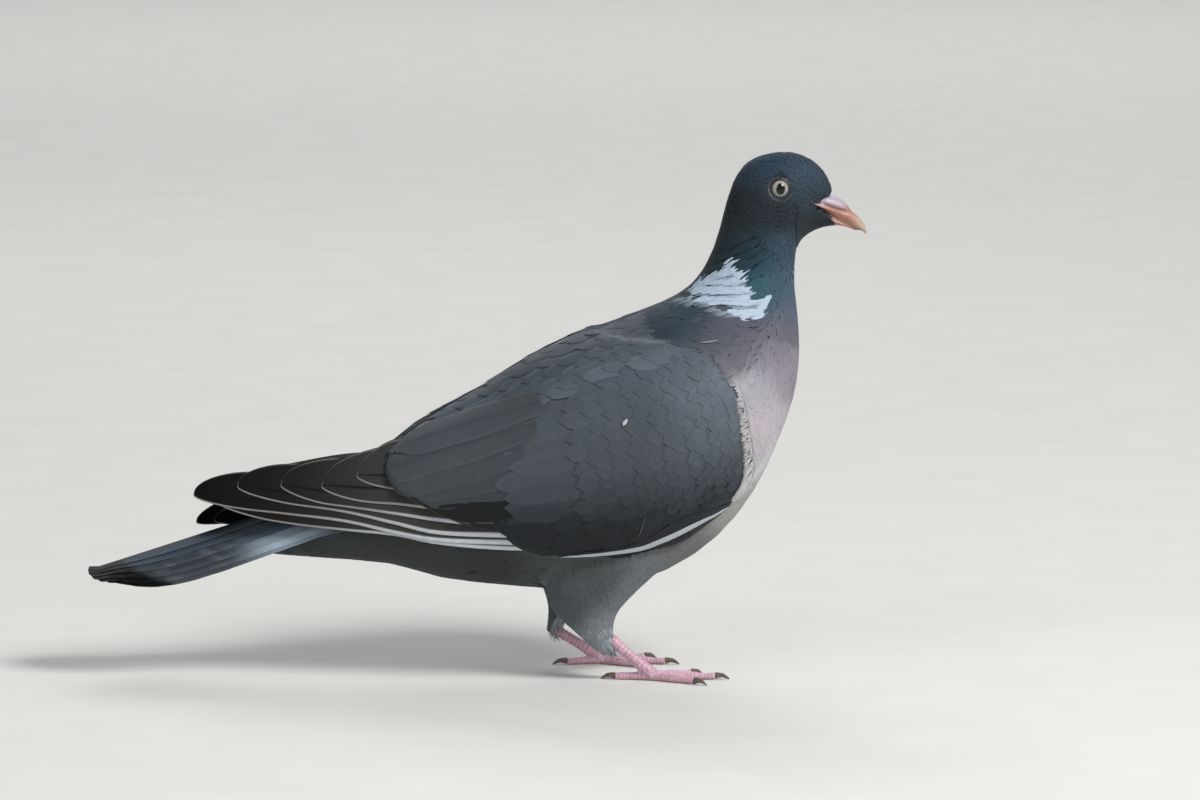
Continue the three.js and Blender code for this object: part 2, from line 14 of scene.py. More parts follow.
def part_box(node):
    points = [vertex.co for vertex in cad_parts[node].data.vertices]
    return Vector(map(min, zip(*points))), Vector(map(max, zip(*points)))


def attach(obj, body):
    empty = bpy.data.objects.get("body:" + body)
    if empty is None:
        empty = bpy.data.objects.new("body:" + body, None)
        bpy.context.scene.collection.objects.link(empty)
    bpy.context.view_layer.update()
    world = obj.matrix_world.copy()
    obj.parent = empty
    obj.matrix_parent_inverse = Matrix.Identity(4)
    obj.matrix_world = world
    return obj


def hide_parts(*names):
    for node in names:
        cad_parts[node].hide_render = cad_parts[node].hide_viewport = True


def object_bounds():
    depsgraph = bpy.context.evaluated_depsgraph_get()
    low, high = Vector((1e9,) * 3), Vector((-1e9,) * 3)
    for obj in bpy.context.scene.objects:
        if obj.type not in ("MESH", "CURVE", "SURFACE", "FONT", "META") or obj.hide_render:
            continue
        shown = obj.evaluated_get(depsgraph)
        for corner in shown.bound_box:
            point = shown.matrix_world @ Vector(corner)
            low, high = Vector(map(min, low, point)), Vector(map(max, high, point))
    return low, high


bl_info = {
    "name": "Wood Pigeon Model",
    "version": (1, 0, 0),
    "blender": (4, 5, 0),
    "location": "3D View > Sidebar > Pigeon",
    "description": "Builds the plumage, eyes, bill, legs and stage of a life-size wood pigeon",
    "category": "Object",
}

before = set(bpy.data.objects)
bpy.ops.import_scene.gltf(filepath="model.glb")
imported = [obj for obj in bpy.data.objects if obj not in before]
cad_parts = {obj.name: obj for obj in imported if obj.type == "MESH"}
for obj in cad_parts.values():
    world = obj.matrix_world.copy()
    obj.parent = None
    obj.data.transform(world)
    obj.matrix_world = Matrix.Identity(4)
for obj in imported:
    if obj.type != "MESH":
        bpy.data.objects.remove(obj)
LOW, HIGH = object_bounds()
LOW, HIGH = Vector(LOW), Vector(HIGH)
SIZE = HIGH - LOW
MM = 0.001
BODY = "root"
SIDES = {"right": -1, "left": 1}
FLESH = ["head", "neck", "trunk", "rump", "thigh_right", "thigh_left", "wing_right", "wing_left"]
LEGS = ["tarsus_right", "tarsus_left", "foot_right", "foot_left"]
CELL = 0.003                                    # a tuft's patch on the unwrapped skin
FLANK = 5 * MM                                  # markings of the sides begin this far from the middle


# ---------------------------------------------------------------- colour and material

def linear(code):
    """An sRGB hex value as linear red, green, blue and one."""
    parts = [int(code[i:i + 2], 16) / 255 for i in (1, 3, 5)]
    return tuple(c / 12.92 if c <= 0.04045 else ((c + 0.055) / 1.055) ** 2.4 for c in parts) + (1.0,)


def rgb(code):
    """The same without the last value, for the colour of a vertex."""
    return linear(code)[:3]


def add(tree, kind, settings=None, **links):
    """Adds a node, with its settings (inputs by name or number, else properties) and its links."""
    made = tree.nodes.new(kind)
    for key, value in (settings or {}).items():
        if isinstance(key, int) or key in made.inputs:
            made.inputs[key].default_value = value
        else:
            setattr(made, key, value)
    for key, source in links.items():
        socket = made.inputs[int(key[1:])] if key[0] == "_" else made.inputs[key.replace("_", " ")]
        tree.links.new(source, socket)
    return made


def blank_material(name):
    """A material and its empty node tree."""
    material = bpy.data.materials.new(name)
    material.use_nodes = True
    tree = material.node_tree
    tree.nodes.clear()
    return material, tree


def close(tree, shader):
    """Links a shader to the material's output."""
    add(tree, "ShaderNodeOutputMaterial", None, Surface=shader.outputs[0])


def feather_material(name, barb, sheen, rough, gloss=0.25):
    """Keratin vane, grown as a row of fine barbs: matt, with a soft grazing glow and streaks along the barbs.
    Real barbs stand 0.25 mm apart; they are drawn about twice as coarse so that they show."""
    material, tree = blank_material(name)
    colour = add(tree, "ShaderNodeAttribute", {"attribute_name": "Plumage"})
    vane = add(tree, "ShaderNodeUVMap", {"uv_map": "Vane"})
    split = add(tree, "ShaderNodeSeparateXYZ", None, Vector=vane.outputs[0])
    side = add(tree, "ShaderNodeMath", {"operation": "ABSOLUTE"}, _0=split.outputs[0])
    slope = add(tree, "ShaderNodeMath", {"operation": "MULTIPLY", 1: -1.1}, _0=side.outputs[0])
    barbs = add(tree, "ShaderNodeMath", {"operation": "ADD"}, _0=split.outputs[1], _1=slope.outputs[0])
    lane = add(tree, "ShaderNodeCombineXYZ", None, X=side.outputs[0], Y=barbs.outputs[0])
    stretched = add(tree, "ShaderNodeVectorMath", {"operation": "MULTIPLY", 1: (0.12, 1.0, 1.0)},
                    _0=lane.outputs[0])
    grain = add(tree, "ShaderNodeTexNoise", {"Scale": 1.0 / barb, "Detail": 2.0, "Roughness": 0.6},
                Vector=stretched.outputs[0])
    spread = add(tree, "ShaderNodeMapRange",
                 {"From Min": 0.3, "From Max": 0.7, "To Min": 0.86, "To Max": 1.14}, Value=grain.outputs[0])
    shade = add(tree, "ShaderNodeVectorMath", {"operation": "SCALE"},
                _0=colour.outputs["Color"], Scale=spread.outputs[0])
    bump = add(tree, "ShaderNodeBump", {"Strength": 0.25, "Distance": 0.00012}, Height=grain.outputs[0])
    skin = add(tree, "ShaderNodeBsdfPrincipled",
               {"Roughness": rough, "IOR": 1.54, "Specular IOR Level": gloss, "Sheen Weight": sheen,
                "Sheen Roughness": 0.45, "Sheen Tint": linear("#8a94a0")},
               Base_Color=shade.outputs[0], Normal=bump.outputs[0])
    close(tree, skin)
    return material


def noise_material(name, low, high, grain, rough, bump):
    """A mottled natural surface between two colours, with a fine bump of the same grain in metres."""
    material, tree = blank_material(name)
    place = add(tree, "ShaderNodeTexCoord")
    cloud = add(tree, "ShaderNodeTexNoise", {"Scale": 1 / grain, "Detail": 4.0},
                Vector=place.outputs["Object"])
    spread = add(tree, "ShaderNodeMapRange", {"From Min": 0.3, "From Max": 0.7}, Value=cloud.outputs[0])
    blend = add(tree, "ShaderNodeMix", {"data_type": "RGBA", 6: linear(low), 7: linear(high)},
                _0=spread.outputs[0])
    relief = add(tree, "ShaderNodeBump", {"Strength": bump, "Distance": grain * 0.3}, Height=cloud.outputs[0])
    close(tree, add(tree, "ShaderNodeBsdfPrincipled", {"Roughness": rough, "IOR": 1.5},
                    Base_Color=blend.outputs[2], Normal=relief.outputs[0]))
    return material


# ---------------------------------------------------------------- meshes

def show(name, mesh, material, slot, smooth=True):
    """Puts a mesh in the scene as a piece of the bird."""
    piece = bpy.data.objects.new(name, mesh)
    bpy.context.scene.collection.objects.link(piece)
    if material:
        mesh.materials.append(material)
    if smooth:
        mesh.polygons.foreach_set("use_smooth", [True] * len(mesh.polygons))
    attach(piece, BODY)
    return piece


def painted(mesh, colours, domain):
    """Stores colours on a mesh, at its points or at the corners of its faces."""
    layer = mesh.color_attributes.new("Plumage", "FLOAT_COLOR", domain)
    layer.data.foreach_set("color", np.array([tuple(c) + (1.0,) for c in colours], np.float32).ravel())


def remeshed(names, voxel, rounds):
    """One closed mesh round several CAD nodes, rebuilt on an even grid and smoothed."""
    joined = bmesh.new()
    for name in names:
        joined.from_mesh(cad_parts[name].data)
    mesh = bpy.data.meshes.new("union")
    joined.to_mesh(mesh)
    joined.free()
    return evened(mesh, voxel, rounds)


def evened(mesh, voxel, rounds):
    """A closed mesh rebuilt on an even grid and smoothed."""
    carrier = bpy.data.objects.new("union", mesh)
    bpy.context.scene.collection.objects.link(carrier)
    remesh = carrier.modifiers.new("even", "REMESH")
    remesh.mode, remesh.voxel_size = "VOXEL", voxel
    soften = carrier.modifiers.new("soft", "SMOOTH")
    soften.factor, soften.iterations = 0.5, rounds
    depsgraph = bpy.context.evaluated_depsgraph_get()
    result = bpy.data.meshes.new_from_object(carrier.evaluated_get(depsgraph))
    bpy.data.objects.remove(carrier)
    return result


class Form:
    """A closed surface that feathers lie on."""

    def __init__(self, mesh):
        self.points = [v.co.copy() for v in mesh.vertices]
        self.faces = [tuple(p.vertices) for p in mesh.polygons]
        lean = [n.vector.copy() for n in mesh.vertex_normals]
        for _ in range(3):                      # evens out the facets, so that feathers lie smoothly
            self.normals = [sum((lean[i] for i in face), Vector()).normalized() for face in self.faces]
            lean = [Vector() for _ in self.points]
            for face, normal in zip(self.faces, self.normals):
                for i in face:
                    lean[i] += normal
        self.areas = [p.area for p in mesh.polygons]
        self.tree = BVHTree.FromPolygons(self.points, self.faces)

    def near(self, point):
        """The nearest place on the surface and its outward direction."""
        place, _, face, _ = self.tree.find_nearest(point)
        return place, self.normals[face]

    def along(self, start, direction):
        """Where a ray first meets the surface."""
        place, _, face, _ = self.tree.ray_cast(start, direction)
        return (place, self.normals[face]) if place else (None, None)


def spot(along, up):
    """A place given as shares, in hundredths, of the bird's length and height."""
    return Vector((LOW.x + SIZE.x * along / 100, 0, LOW.z + SIZE.z * up / 100))


def mix(a, b, t):
    """From a at 0 to b at 1, value by value."""
    return [x + (y - x) * t for x, y in zip(a, b)]


def ramp(x, low, high):
    """0 below low, 1 above high, smooth between."""
    t = min(1.0, max(0.0, (x - low) / (high - low)))
    return t * t * (3 - 2 * t)


def curve(points, t):
    """A smooth curve through points, t from 0 to 1 (Catmull-Rom)."""
    last = len(points) - 1
    at = min(max(t, 0), 1) * last
    i = min(int(at), last - 1)
    f = at - i
    p0, p1, p2, p3 = (points[min(max(k, 0), last)] for k in (i - 1, i, i + 1, i + 2))
    return [0.5 * (2 * b + (c - a) * f + (2 * a - 5 * b + 4 * c - d) * f * f
                   + (3 * b - a - 3 * c + d) * f ** 3)
            for a, b, c, d in zip(p0, p1, p2, p3)]


def profile(values, t):
    """A smooth curve through single values, t from 0 to 1."""
    return curve([(value,) for value in values], t)[0]


def blendof(table, place, values):
    """Mean of a table whose rows start with a place along and up; nearer rows weigh more."""
    total, result = 0.0, None
    for row in table:
        d = (place - spot(row[0], row[1])).to_tuple()
        w = 1 / ((d[0] * d[0] + d[2] * d[2]) ** 2 + 1e-9)
        part = [w * v for v in values(row)]
        result = part if result is None else [r + p for r, p in zip(result, part)]
        total += w
    return [r / total for r in result]


BOXES = {}


def box_of(name):
    """The lowest and highest corner of a CAD node's box, kept after the first call."""
    if name not in BOXES:
        BOXES[name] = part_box(name)
    return BOXES[name]


def shares_in(name, place):
    """How far along and up a place is in a CAD node's box, each 0 to 1."""
    low, high = box_of(name)
    return (place.x - low.x) / (high.x - low.x), (place.z - low.z) / (high.z - low.z)


def lying(way, normal):
    """A direction turned into the surface that has this normal."""
    way = way - normal * way.dot(normal)
    return way.normalized()


# ---------------------------------------------------------------- lie and colour of the plumage

# along, up (hundredths of length and height), direction of the lie (along, up)
LIE = [(95.0, 93.2, -0.5, 0.85), (91.3, 99.2, -1, 0.25), (87.0, 100, -1, -0.05), (82.8, 96.6, -0.75, -0.66),
       (81.3, 89.8, -0.35, -0.94), (92.7, 90.3, -0.98, 0.1), (88.5, 86.9, -0.9, -0.4),
       (84.8, 89.8, -0.85, -0.5), (93.3, 85.6, -0.95, -0.3), (90.7, 80.5, -0.35, -0.94),
       (91.0, 72.9, -0.05, -1), (86.5, 78.4, -0.6, -0.8), (81.5, 74.4, -1, 0.0), (85.1, 72.5, -1, 0.0),
       (84.5, 81.2, -0.9, -0.42), (81.3, 79.8, -0.9, -0.45), (86.3, 77.9, -0.88, -0.48),
       (79.3, 79.5, -0.75, -0.6), (89.9, 63.6, -0.2, -0.98), (74.2, 71.2, -0.95, -0.3),
       (64.2, 64.4, -0.9, -0.42), (91.0, 55.1, -0.3, -0.95), (88.5, 44.5, -0.6, -0.8),
       (82.8, 30.5, -0.93, -0.35), (72.8, 21.2, -1, 0), (61.4, 21.2, -1, 0.02), (50.0, 17.8, -1, 0.08),
       (32.9, 22.0, -1, -0.1), (41.5, 40.3, -0.92, -0.38), (24.4, 31.8, -0.96, -0.28)]

# along, up, colour of the plumage there; the colours also hold painted shade, dark on the belly, vent and
# under the tail, and painted sheen, the teal gloss of the neck
TINTS = [(86.4, 99.4, "#1f3344"), (83.2, 97.1, "#212d39"), (92.5, 95.1, "#2b3c4a"), (93.4, 92.1, "#27323a"),
         (88.3, 88.7, "#1a232b"), (84.5, 88.7, "#182026"), (81.5, 90.5, "#171d21"), (92.5, 86.3, "#1f262b"),
         # the teal rows on the neck are painted sheen: its green gloss
         (90.5, 81.9, "#334350"), (90.9, 76.2, "#405463"), (90.5, 69.7, "#4d5466"), (86.0, 79.9, "#0c293a"),
         (86.9, 76.6, "#244c53"), (86.7, 73.7, "#2a5058"), (88.4, 75.4, "#3b4c5a"), (88.0, 80.0, "#2a4452"),
         (83.2, 82.2, "#182931"), (78.7, 82.9, "#1c2428"), (77.4, 77.2, "#232b32"), (84.5, 68.2, "#4a4a5a"),
         (76.1, 69.4, "#27363f"), (71.0, 65.1, "#1d2632"), (66.0, 66.0, "#1a2431"), (81.0, 64.0, "#42454f"),
         (89.6, 66.4, "#5e5e67"), (83.6, 63.4, "#565660"), (82.3, 61.5, "#565860"), (86.6, 60.6, "#77747f"),
         (86.0, 56.0, "#a3a0a6"), (90.2, 58.2, "#89808a"), (87.7, 49.0, "#b8afb7"), (83.8, 54.9, "#aaabac"),
         (84.5, 39.5, "#cbcbc9"), (93.4, 53.5, "#666369"), (83.8, 31.6, "#9c9c98"), (86.4, 34.5, "#98959a"),
         # the dark rows low on the belly, vent and under the tail are painted shade
         (77.4, 23.8, "#6d7071"), (65.9, 19.7, "#484c4e"), (53.0, 17.5, "#2d2f2f"), (37.7, 18.1, "#313331"),
         (27.4, 17.8, "#282a29"), (70.0, 15.0, "#6d747a"), (66.0, 8.0, "#7b8085"), (61.5, 14.0, "#4b5154"),
         (50.5, 57.1, "#2a323a"), (40.2, 50.2, "#4a5968"), (31.3, 44.3, "#505e6b"), (22.3, 38.6, "#505e6b")]
LINEAR_TINTS = [(a, u, rgb(code)) for a, u, code in TINTS]

# tract: spacing, length, width, coat depth and rise of the vane in mm, rows and columns of the vane
TUFTS = {
    "face": (0.95, 3.2, 1.5, 0.3, 0.15, 4, 3),
    "head": (1.15, 4.6, 1.8, 0.35, 0.18, 4, 3),
    "neck": (1.4, 7.5, 2.4, 0.7, 0.10, 5, 3),
    "ruff": (1.05, 7.5, 1.6, 0.7, 0.16, 5, 3),
    "breast": (1.8, 10, 3.4, 0.85, 0.10, 6, 3),
    "belly": (2.3, 15, 4.6, 1.0, 0.18, 6, 3),
    "mantle": (2.1, 12, 4.4, 0.9, 0.2, 6, 3),
    "rump": (2.9, 20, 6.0, 1.1, 0.22, 6, 3),
    "thigh": (1.65, 9, 2.6, 0.7, 0.3, 5, 3),
}

# shares of the neck node's box, along and up, round the white patch on each side
NECK_PATCH = [(.086, .427), (.197, .472), (.298, .494), (.335, .562), (.390, .562), (.436, .509),
              (.519, .487), (.473, .457), (.538, .419), (.501, .390), (.566, .356), (.621, .345),
              (.584, .318), (.602, .289), (.649, .277), (.713, .300), (.732, .277), (.685, .240),
              (.695, .202), (.695, .135), (.566, .146), (.455, .154), (.390, .165), (.335, .210),
              (.353, .236), (.224, .240), (.114, .259), (.049, .289), (.017, .315), (.012, .360),
              (.049, .397)]
NECK_SPOT = [(.206, .195), (.243, .214), (.289, .188), (.270, .150), (.224, .154)]
# the furrows between the ranks of feathers there, darkened with painted shade
FURROWS = [[(.012, .367), (.197, .375), (.427, .378), (.529, .412), (.612, .442), (.667, .457)],
           [(.022, .307), (.270, .307), (.455, .315), (.575, .330), (.639, .345)],
           [(.224, .244), (.344, .236), (.455, .229), (.593, .229), (.667, .247)],
           [(.206, .419), (.335, .434), (.409, .453)], [(.141, .449), (.270, .494), (.390, .524)],
           [(.178, .517), (.317, .562), (.455, .614), (.621, .674)],
           [(.206, .599), (.344, .636), (.473, .689), (.612, .734)],
           [(.492, .554), (.575, .592), (.658, .629)],
           [(.538, .487), (.612, .539), (.695, .577)]]


def inside(polygon, x, y):
    """Whether a point is in a polygon."""
    odd = False
    for (x1, y1), (x2, y2) in zip(polygon, polygon[1:] + polygon[:1]):
        if (y1 > y) != (y2 > y) and x < (x2 - x1) * (y - y1) / (y2 - y1) + x1:
            odd = not odd
    return odd


def plumage_colour_and_shade(place):
    """The plumage's colour at a place on the head, neck or body, with painted shade and painted sheen in it.
    """
    tint = blendof(LINEAR_TINTS, place, lambda row: row[2])
    fx, fz = shares_in("neck", place)
    if abs(place.y) > FLANK:
        wobble = noise.noise(place * 300) * 0.02
        if inside(NECK_PATCH, fx + wobble, fz - wobble):
            tint = rgb("#a9b9c9")
        elif inside(NECK_SPOT, fx, fz):
            tint = mix(tint, rgb("#8a8697"), 0.4)
    # painted shade: darker in the neck's furrows
    return [c * (1 - 0.8 * furrow(place)) for c in tint]


# shares of the box of bill and cere, along and up: where the mandibles meet, and the slit under the cere
GAPE = [(-.02, .885), (.11, .826), (.24, .72), (.41, .58), (.52, .416), (.66, .31), (.77, .24), (.93, .17)]
NOSTRIL = [(.315, .80), (.42, .735), (.54, .68), (.64, .66)]


def line_gap(line, place, low, span):
    """How far a place is, seen from the side, from a line given as shares of a box's length and height."""
    here, best = Vector((place.x, place.z)), 1.0
    points = [Vector((low.x + span.x * x, low.z + span.z * z)) for x, z in line]
    for p, q in zip(points, points[1:]):
        along = min(1, max(0, (here - p).dot(q - p) / (q - p).length_squared))
        best = min(best, (here - p.lerp(q, along)).length)
    return best


def gape_height(x):
    """The height, as a share, at which the mandibles meet at a share of the bill's length."""
    first, last = GAPE[0][0], GAPE[-1][0]
    return profile([height for _, height in GAPE], (x - first) / (last - first))


def furrow(place):
    """How deep a place lies in the neck's furrows, 0 to 1: the feathers there stand in ranks."""
    low, high = box_of("neck")
    if not (low.x < place.x < high.x and low.z < place.z < high.z) or abs(place.y) < FLANK:
        return 0.0
    gap = min(line_gap(line, place, low, high - low) for line in FURROWS)
    return max(0.0, 1.25 - gap / (0.75 * MM)) / 1.25


def lie(place, normal):
    """The direction in which the feathers lie at a place."""
    x, z = blendof(LIE, place, lambda row: row[2:4])
    return lying(Vector((x, 0, z)), normal)


# ---------------------------------------------------------------- feathers

class Coat:
    """Many solid vanes gathered in one mesh, each with its colours, barb map and patch for baking."""

    def __init__(self, seed, own=0.1):
        self.own = own                          # share of the vane's own slope in its shading
        self.verts, self.faces, self.colours = [], [], []
        self.vane, self.patch, self.leans = [], [], []
        self.random = random.Random(seed)

    def add(self, grid, normals, colours, length, width, home, thick, cell=CELL):
        """Adds a closed vane from a grid of points (rows from root to tip) with its normals and colours."""
        rows, cols = len(grid), len(grid[0])
        index = {}
        a, b = rows // 2, cols // 2
        facing = (grid[a][b] - grid[a][b - 1]).cross(grid[a][b] - grid[a - 1][b]).dot(normals[a][b]) > 0
        for i in range(rows):
            for j in range(cols):
                index[i, j, 0] = len(self.verts)
                self.verts.append(grid[i][j])
        for i in range(1, rows - 1):
            for j in range(1, cols - 1):
                index[i, j, 1] = len(self.verts)
                self.verts.append(grid[i][j] - normals[i][j] * thick)
        for layer in (0, 1):
            for i in range(rows - 1):
                for j in range(cols - 1):
                    corners = [(i, j), (i, j + 1), (i + 1, j + 1), (i + 1, j)]
                    if layer == facing:
                        corners.reverse()
                    self.faces.append([index.get((a, b, layer), index[a, b, 0]) for a, b in corners])
                    for a, b in corners:
                        u, v = a / (rows - 1), b / (cols - 1)
                        self.vane.append(((v - 0.5) * width, u * length))
                        self.patch.append((home[0] + v * cell, home[1] + u * cell))
                        lean = normals[a][b]
                        self.leans.append(-lean if layer else lean)
                        self.colours.append(colours[a][b])

    def build(self, name, material, slot):
        """Makes the mesh. Its shading follows the surface beneath, so that the vanes melt into one coat."""
        mesh = bpy.data.meshes.new(name)
        mesh.from_pydata(self.verts, [], self.faces)
        mesh.polygons.foreach_set("use_smooth", [True] * len(mesh.polygons))
        for title, data in (("Vane", self.vane), ("OFBake", self.patch)):
            layer = mesh.uv_layers.new(name=title)
            layer.data.foreach_set("uv", np.array(data, np.float32).ravel())
        painted(mesh, self.colours, "CORNER")
        own = np.empty(len(mesh.loops) * 3, np.float32)
        mesh.corner_normals.foreach_get("vector", own)
        leans = np.array(self.leans, np.float32)
        blended = leans * (1 - self.own) + own.reshape(-1, 3) * self.own
        blended /= np.maximum(np.linalg.norm(blended, axis=1, keepdims=True), 1e-6)
        mesh.normals_split_custom_set(blended.tolist())
        return show(name, mesh, material, slot, smooth=False)


def home_of(place):
    """A place on the unwrapped skin: how far along the bird, and the angle round it."""
    along = (place.x - LOW.x) / SIZE.x
    middle = LOW.z + SIZE.z * (0.25 + 0.55 * max(0, along - 0.55))
    turn = math.atan2(place.y, place.z - middle) / (2 * math.pi) + 0.5
    return along * (1 - CELL), turn * (1 - CELL)


def body_outline(u):
    """Share of full width along a contour feather."""
    return (0.45 + 0.75 * u) if u < 0.6 else 0.9 * math.sqrt(max(0.0, 1 - ((u - 0.6) / 0.44) ** 2.4)) + 0.03


def quill_outline(u):
    """Share of full width along a flight feather."""
    rise = min(1.0, 0.55 + 0.9 * u)
    return rise if u < 0.8 else rise * math.sqrt(max(0.0, 1 - ((u - 0.8) / 0.205) ** 2.2))


def covert_outline(u):
    """Share of full width along a covert: broad, with a round end."""
    return (0.55 + 0.7 * u) if u < 0.5 else 0.8 * math.sqrt(max(0.0, 1 - ((u - 0.5) / 0.5) ** 2.3)) + 0.1


def tip_shares(rows, power=1.8):
    """Shares from root to tip, closer together near the tip."""
    return [1 - (1 - i / (rows - 1)) ** power for i in range(rows)]


def lay(coat, form, root, way, length, width, depth, paint, rows=5, cols=5, outline=body_outline, lift=0.1,
        slope=0.6, flow=None, rag=0.05, thick=0.1, edge_tuck=0.12, sweep=0.3):
    """Lays one feather on a form from its root; paint gives the colour at shares along and across."""
    p, n = form.near(root)
    d = lying(way, n)
    home = home_of(p)
    rand = coat.random
    grid, leans, tints = [], [], []
    shares = tip_shares(rows, 1.4)
    for i, u in enumerate(shares):
        if i:
            p, n = form.near(p + d * (length * (u - shares[i - 1])))
        if flow:
            d = d.lerp(flow(p, n), 0.35)
        d = lying(d, n)
        c = n.cross(d)
        half = width * 0.5 * outline(u)
        points, norms, shades = [], [], []
        for j in range(cols):
            v = -1 + 2 * j / (cols - 1)
            q = p + c * (v * half) - d * (sweep * width * v * v * (0.2 + u))
            if i == rows - 1:
                q += d * (rand.uniform(-1, 1) * rag * length)
            q, m = form.near(q)
            sunk = (depth - slope * MM) * max(0.0, 1 - u * 6)
            h = lift * MM - slope * MM * (1 - u) - sunk - edge_tuck * MM * v * v
            points.append(q + m * h)
            norms.append(m)
            shades.append(paint(u, v))
        grid.append(points)
        leans.append(norms)
        tints.append(shades)
    coat.add(grid, leans, tints, length / MM, width / MM, home, thick * MM)


def strand(coat, root, normal, way, length, width, tint):
    """A fine straight feather that leaves the surface at its tip."""
    across = normal.cross(way).normalized()
    grid, leans, tints = [], [], []
    for u in (0, 0.3, 0.6, 0.85, 1):
        half = width * (0.5 - 0.42 * u * u)
        grid.append([root + way * (length * u) + normal * ((0.35 * u - 0.3) * MM) + across * (half * v)
                     - normal * (0.1 * MM * v * v) for v in (-1, 0, 1)])
        leans.append([normal] * 3)
        tints.append([[c * (0.85 + 0.2 * u) for c in tint]] * 3)
    coat.add(grid, leans, tints, length / MM, width / MM, home_of(root), 0.05 * MM)


def scatter(form, keep, spacing, seed):
    """Even random places on a form where keep gives a region; spacing(region) is in metres."""
    rand = random.Random(seed)
    areas = np.cumsum(form.areas)
    total = areas[-1]
    tightest = min(spacing.values())
    tries = int(total / (tightest * tightest) * 2.2)
    found, grid = [], {}
    widest = max(spacing.values())
    for _ in range(tries):
        k = int(np.searchsorted(areas, rand.random() * total))
        corners = [form.points[i] for i in form.faces[k]]
        a, b = rand.random(), rand.random()
        if len(corners) == 4:
            near_side = corners[0] * (1 - a) + corners[1] * a
            p = near_side * (1 - b) + (corners[3] * (1 - a) + corners[2] * a) * b
        else:
            if a + b > 1:
                a, b = 1 - a, 1 - b
            p = corners[0] + (corners[1] - corners[0]) * a + (corners[2] - corners[0]) * b
        region = keep(p, form.normals[k])
        if region is None:
            continue
        r = spacing[region]
        key = tuple(int(math.floor(c / widest)) for c in p)
        near = (q for dx in (-1, 0, 1) for dy in (-1, 0, 1) for dz in (-1, 0, 1)
                for q in grid.get((key[0] + dx, key[1] + dy, key[2] + dz), ()))
        if any((q - p).length_squared < r * r for q in near):
            continue
        grid.setdefault(key, []).append(p)
        found.append((p, form.normals[k], region))
    return found


# ---------------------------------------------------------------- the wing

# lines across the wing that its rows of feathers follow: shares of its length and angles round its axis

WING_LINES = [
    [(.91, 39), (.96, 57), (.986, 83), (.993, 115), (.96, 130)],
    [(.82, 40), (.86, 64), (.89, 89), (.91, 115), (.90, 130)],
    [(.72, 39), (.75, 66), (.78, 93), (.81, 119), (.80, 134)],
    [(.59, 40), (.64, 67), (.67, 93), (.69, 116), (.69, 134)],
    [(.47, 40), (.50, 66), (.52, 94), (.54, 114), (.55, 132)],
    [(.31, 40), (.31, 62), (.32, 86), (.34, 109), (.41, 128)],
]
SCAPULAR_LINES = [
    [(.76, 8), (.79, 28), (.86, 44)], [(.69, 8), (.74, 28), (.82, 44)], [(.55, 8), (.61, 29), (.69, 44)],
    [(.42, 6), (.47, 31), (.55, 46)], [(.28, 5), (.35, 32), (.43, 48)], [(.14, 2), (.20, 30), (.28, 48)],
    [(.01, 0), (.07, 29), (.12, 45)],
]
SECONDARIES = [((.50, 113), (.20, 106)), ((.50, 105), (.13, 97))]
TERTIALS = [((.47, 92), (.075, 83)), ((.47, 80), (.03, 76)), ((.47, 70), (.0, 65)), ((.47, 59.5), (-.01, 52)),
            ((.47, 49), (.016, 34))]


# the wing's white outer line: shares of the wing's length, and the width in mm of the dark band under it,
# partly dark coverts and partly painted shadow of the wing's edge
WHITE_EDGE = [(.945, 0.1), (.895, 1.1), (.86, 2.6), (.82, 3.8), (.78, 3.4), (.735, 2.0), (.69, .5), (.60, .1),
              (.53, .1), (.46, .1)]
# small pale marks: share, angle, how steeply they point down, length, width and colour
SMALL_MARKS = [(.655, 68, 6, 3.4, 1.8, "#b9b6b4"), (.704, 115, 18, 11.5, 0.5, "#5a534c"),
               (.90, 34, 1, 8, 1.1, "#757b81")]


def grid_at(lines, s, t):
    """A share and an angle at s along the lines and t across them, both 0 to 1."""
    across = [curve(line, t) for line in lines]
    return curve(across, s)


def wing_axis(share):
    """The height of the line that the wings' angles go round, at a share of their length."""
    return 0.08 + 0.03 * share


def wing_place(form, side, share, angle):
    """The place on a wing's outside at a share of its length and an angle round the wing's axis."""
    low, high = box_of("wing_" + side)
    centre = Vector((low.x + (high.x - low.x) * share, 0, wing_axis(share)))
    a = math.radians(angle)
    out = Vector((0, SIDES[side] * math.sin(a), math.cos(a)))
    place, normal = form.along(centre + out * 0.12, -out)
    if place is None:
        place, normal = form.near(centre + out * 0.04)
    return place, normal


def lower_edge(form, side, share):
    """The lowest place on a wing's outside at a share of its length, seen from the side."""
    low, high = box_of("wing_" + side)
    x, out = low.x + (high.x - low.x) * share, Vector((0, SIDES[side], 0))
    last = None
    for step in range(160):
        start = Vector((x, 0, low.z + (0.6 - step / 160 * 0.62) * (high.z - low.z))) + out * 0.2
        place, _ = form.along(start, -out)
        turned_in = last and place and abs(last.y) - abs(place.y) > 0.9 * MM
        if place is None or owner(place) != "wing_" + side or turned_in:
            if last:
                return last
            continue
        last = place
    return last


def shaded(base, edge=None, edge_from=0.7, shaft=None, jitter=1.0, tip=None, tip_from=0.8, dark_root=0.85):
    """A paint for one feather: base colour, paler or darker edge, shaft line and tip, and painted shade on
    its covered root (dark_root).
    """
    def paint(u, v):
        # dark_root: painted shade at the root, under the feathers that lap over it
        colour = [c * jitter * (dark_root + (1 - dark_root) * min(1, u * 1.6)) for c in base]
        if shaft is not None and abs(v) < 0.05:
            colour = mix(colour, shaft, 0.7)
        if edge is not None and abs(v) > edge_from:
            colour = mix(colour, edge, 0.75)
        if tip is not None and u > tip_from:
            colour = mix(colour, tip, 0.75)
        return colour
    return paint


def faded(start, end, tone):
    """A paint that runs from one colour at the root to another at the tip."""
    def paint(u, v):
        return [c * tone * (1 + 0.05 * (abs(v) > 0.6)) for c in mix(start, end, u)]
    return paint


# ---------------------------------------------------------------- pieces

STATE = {}


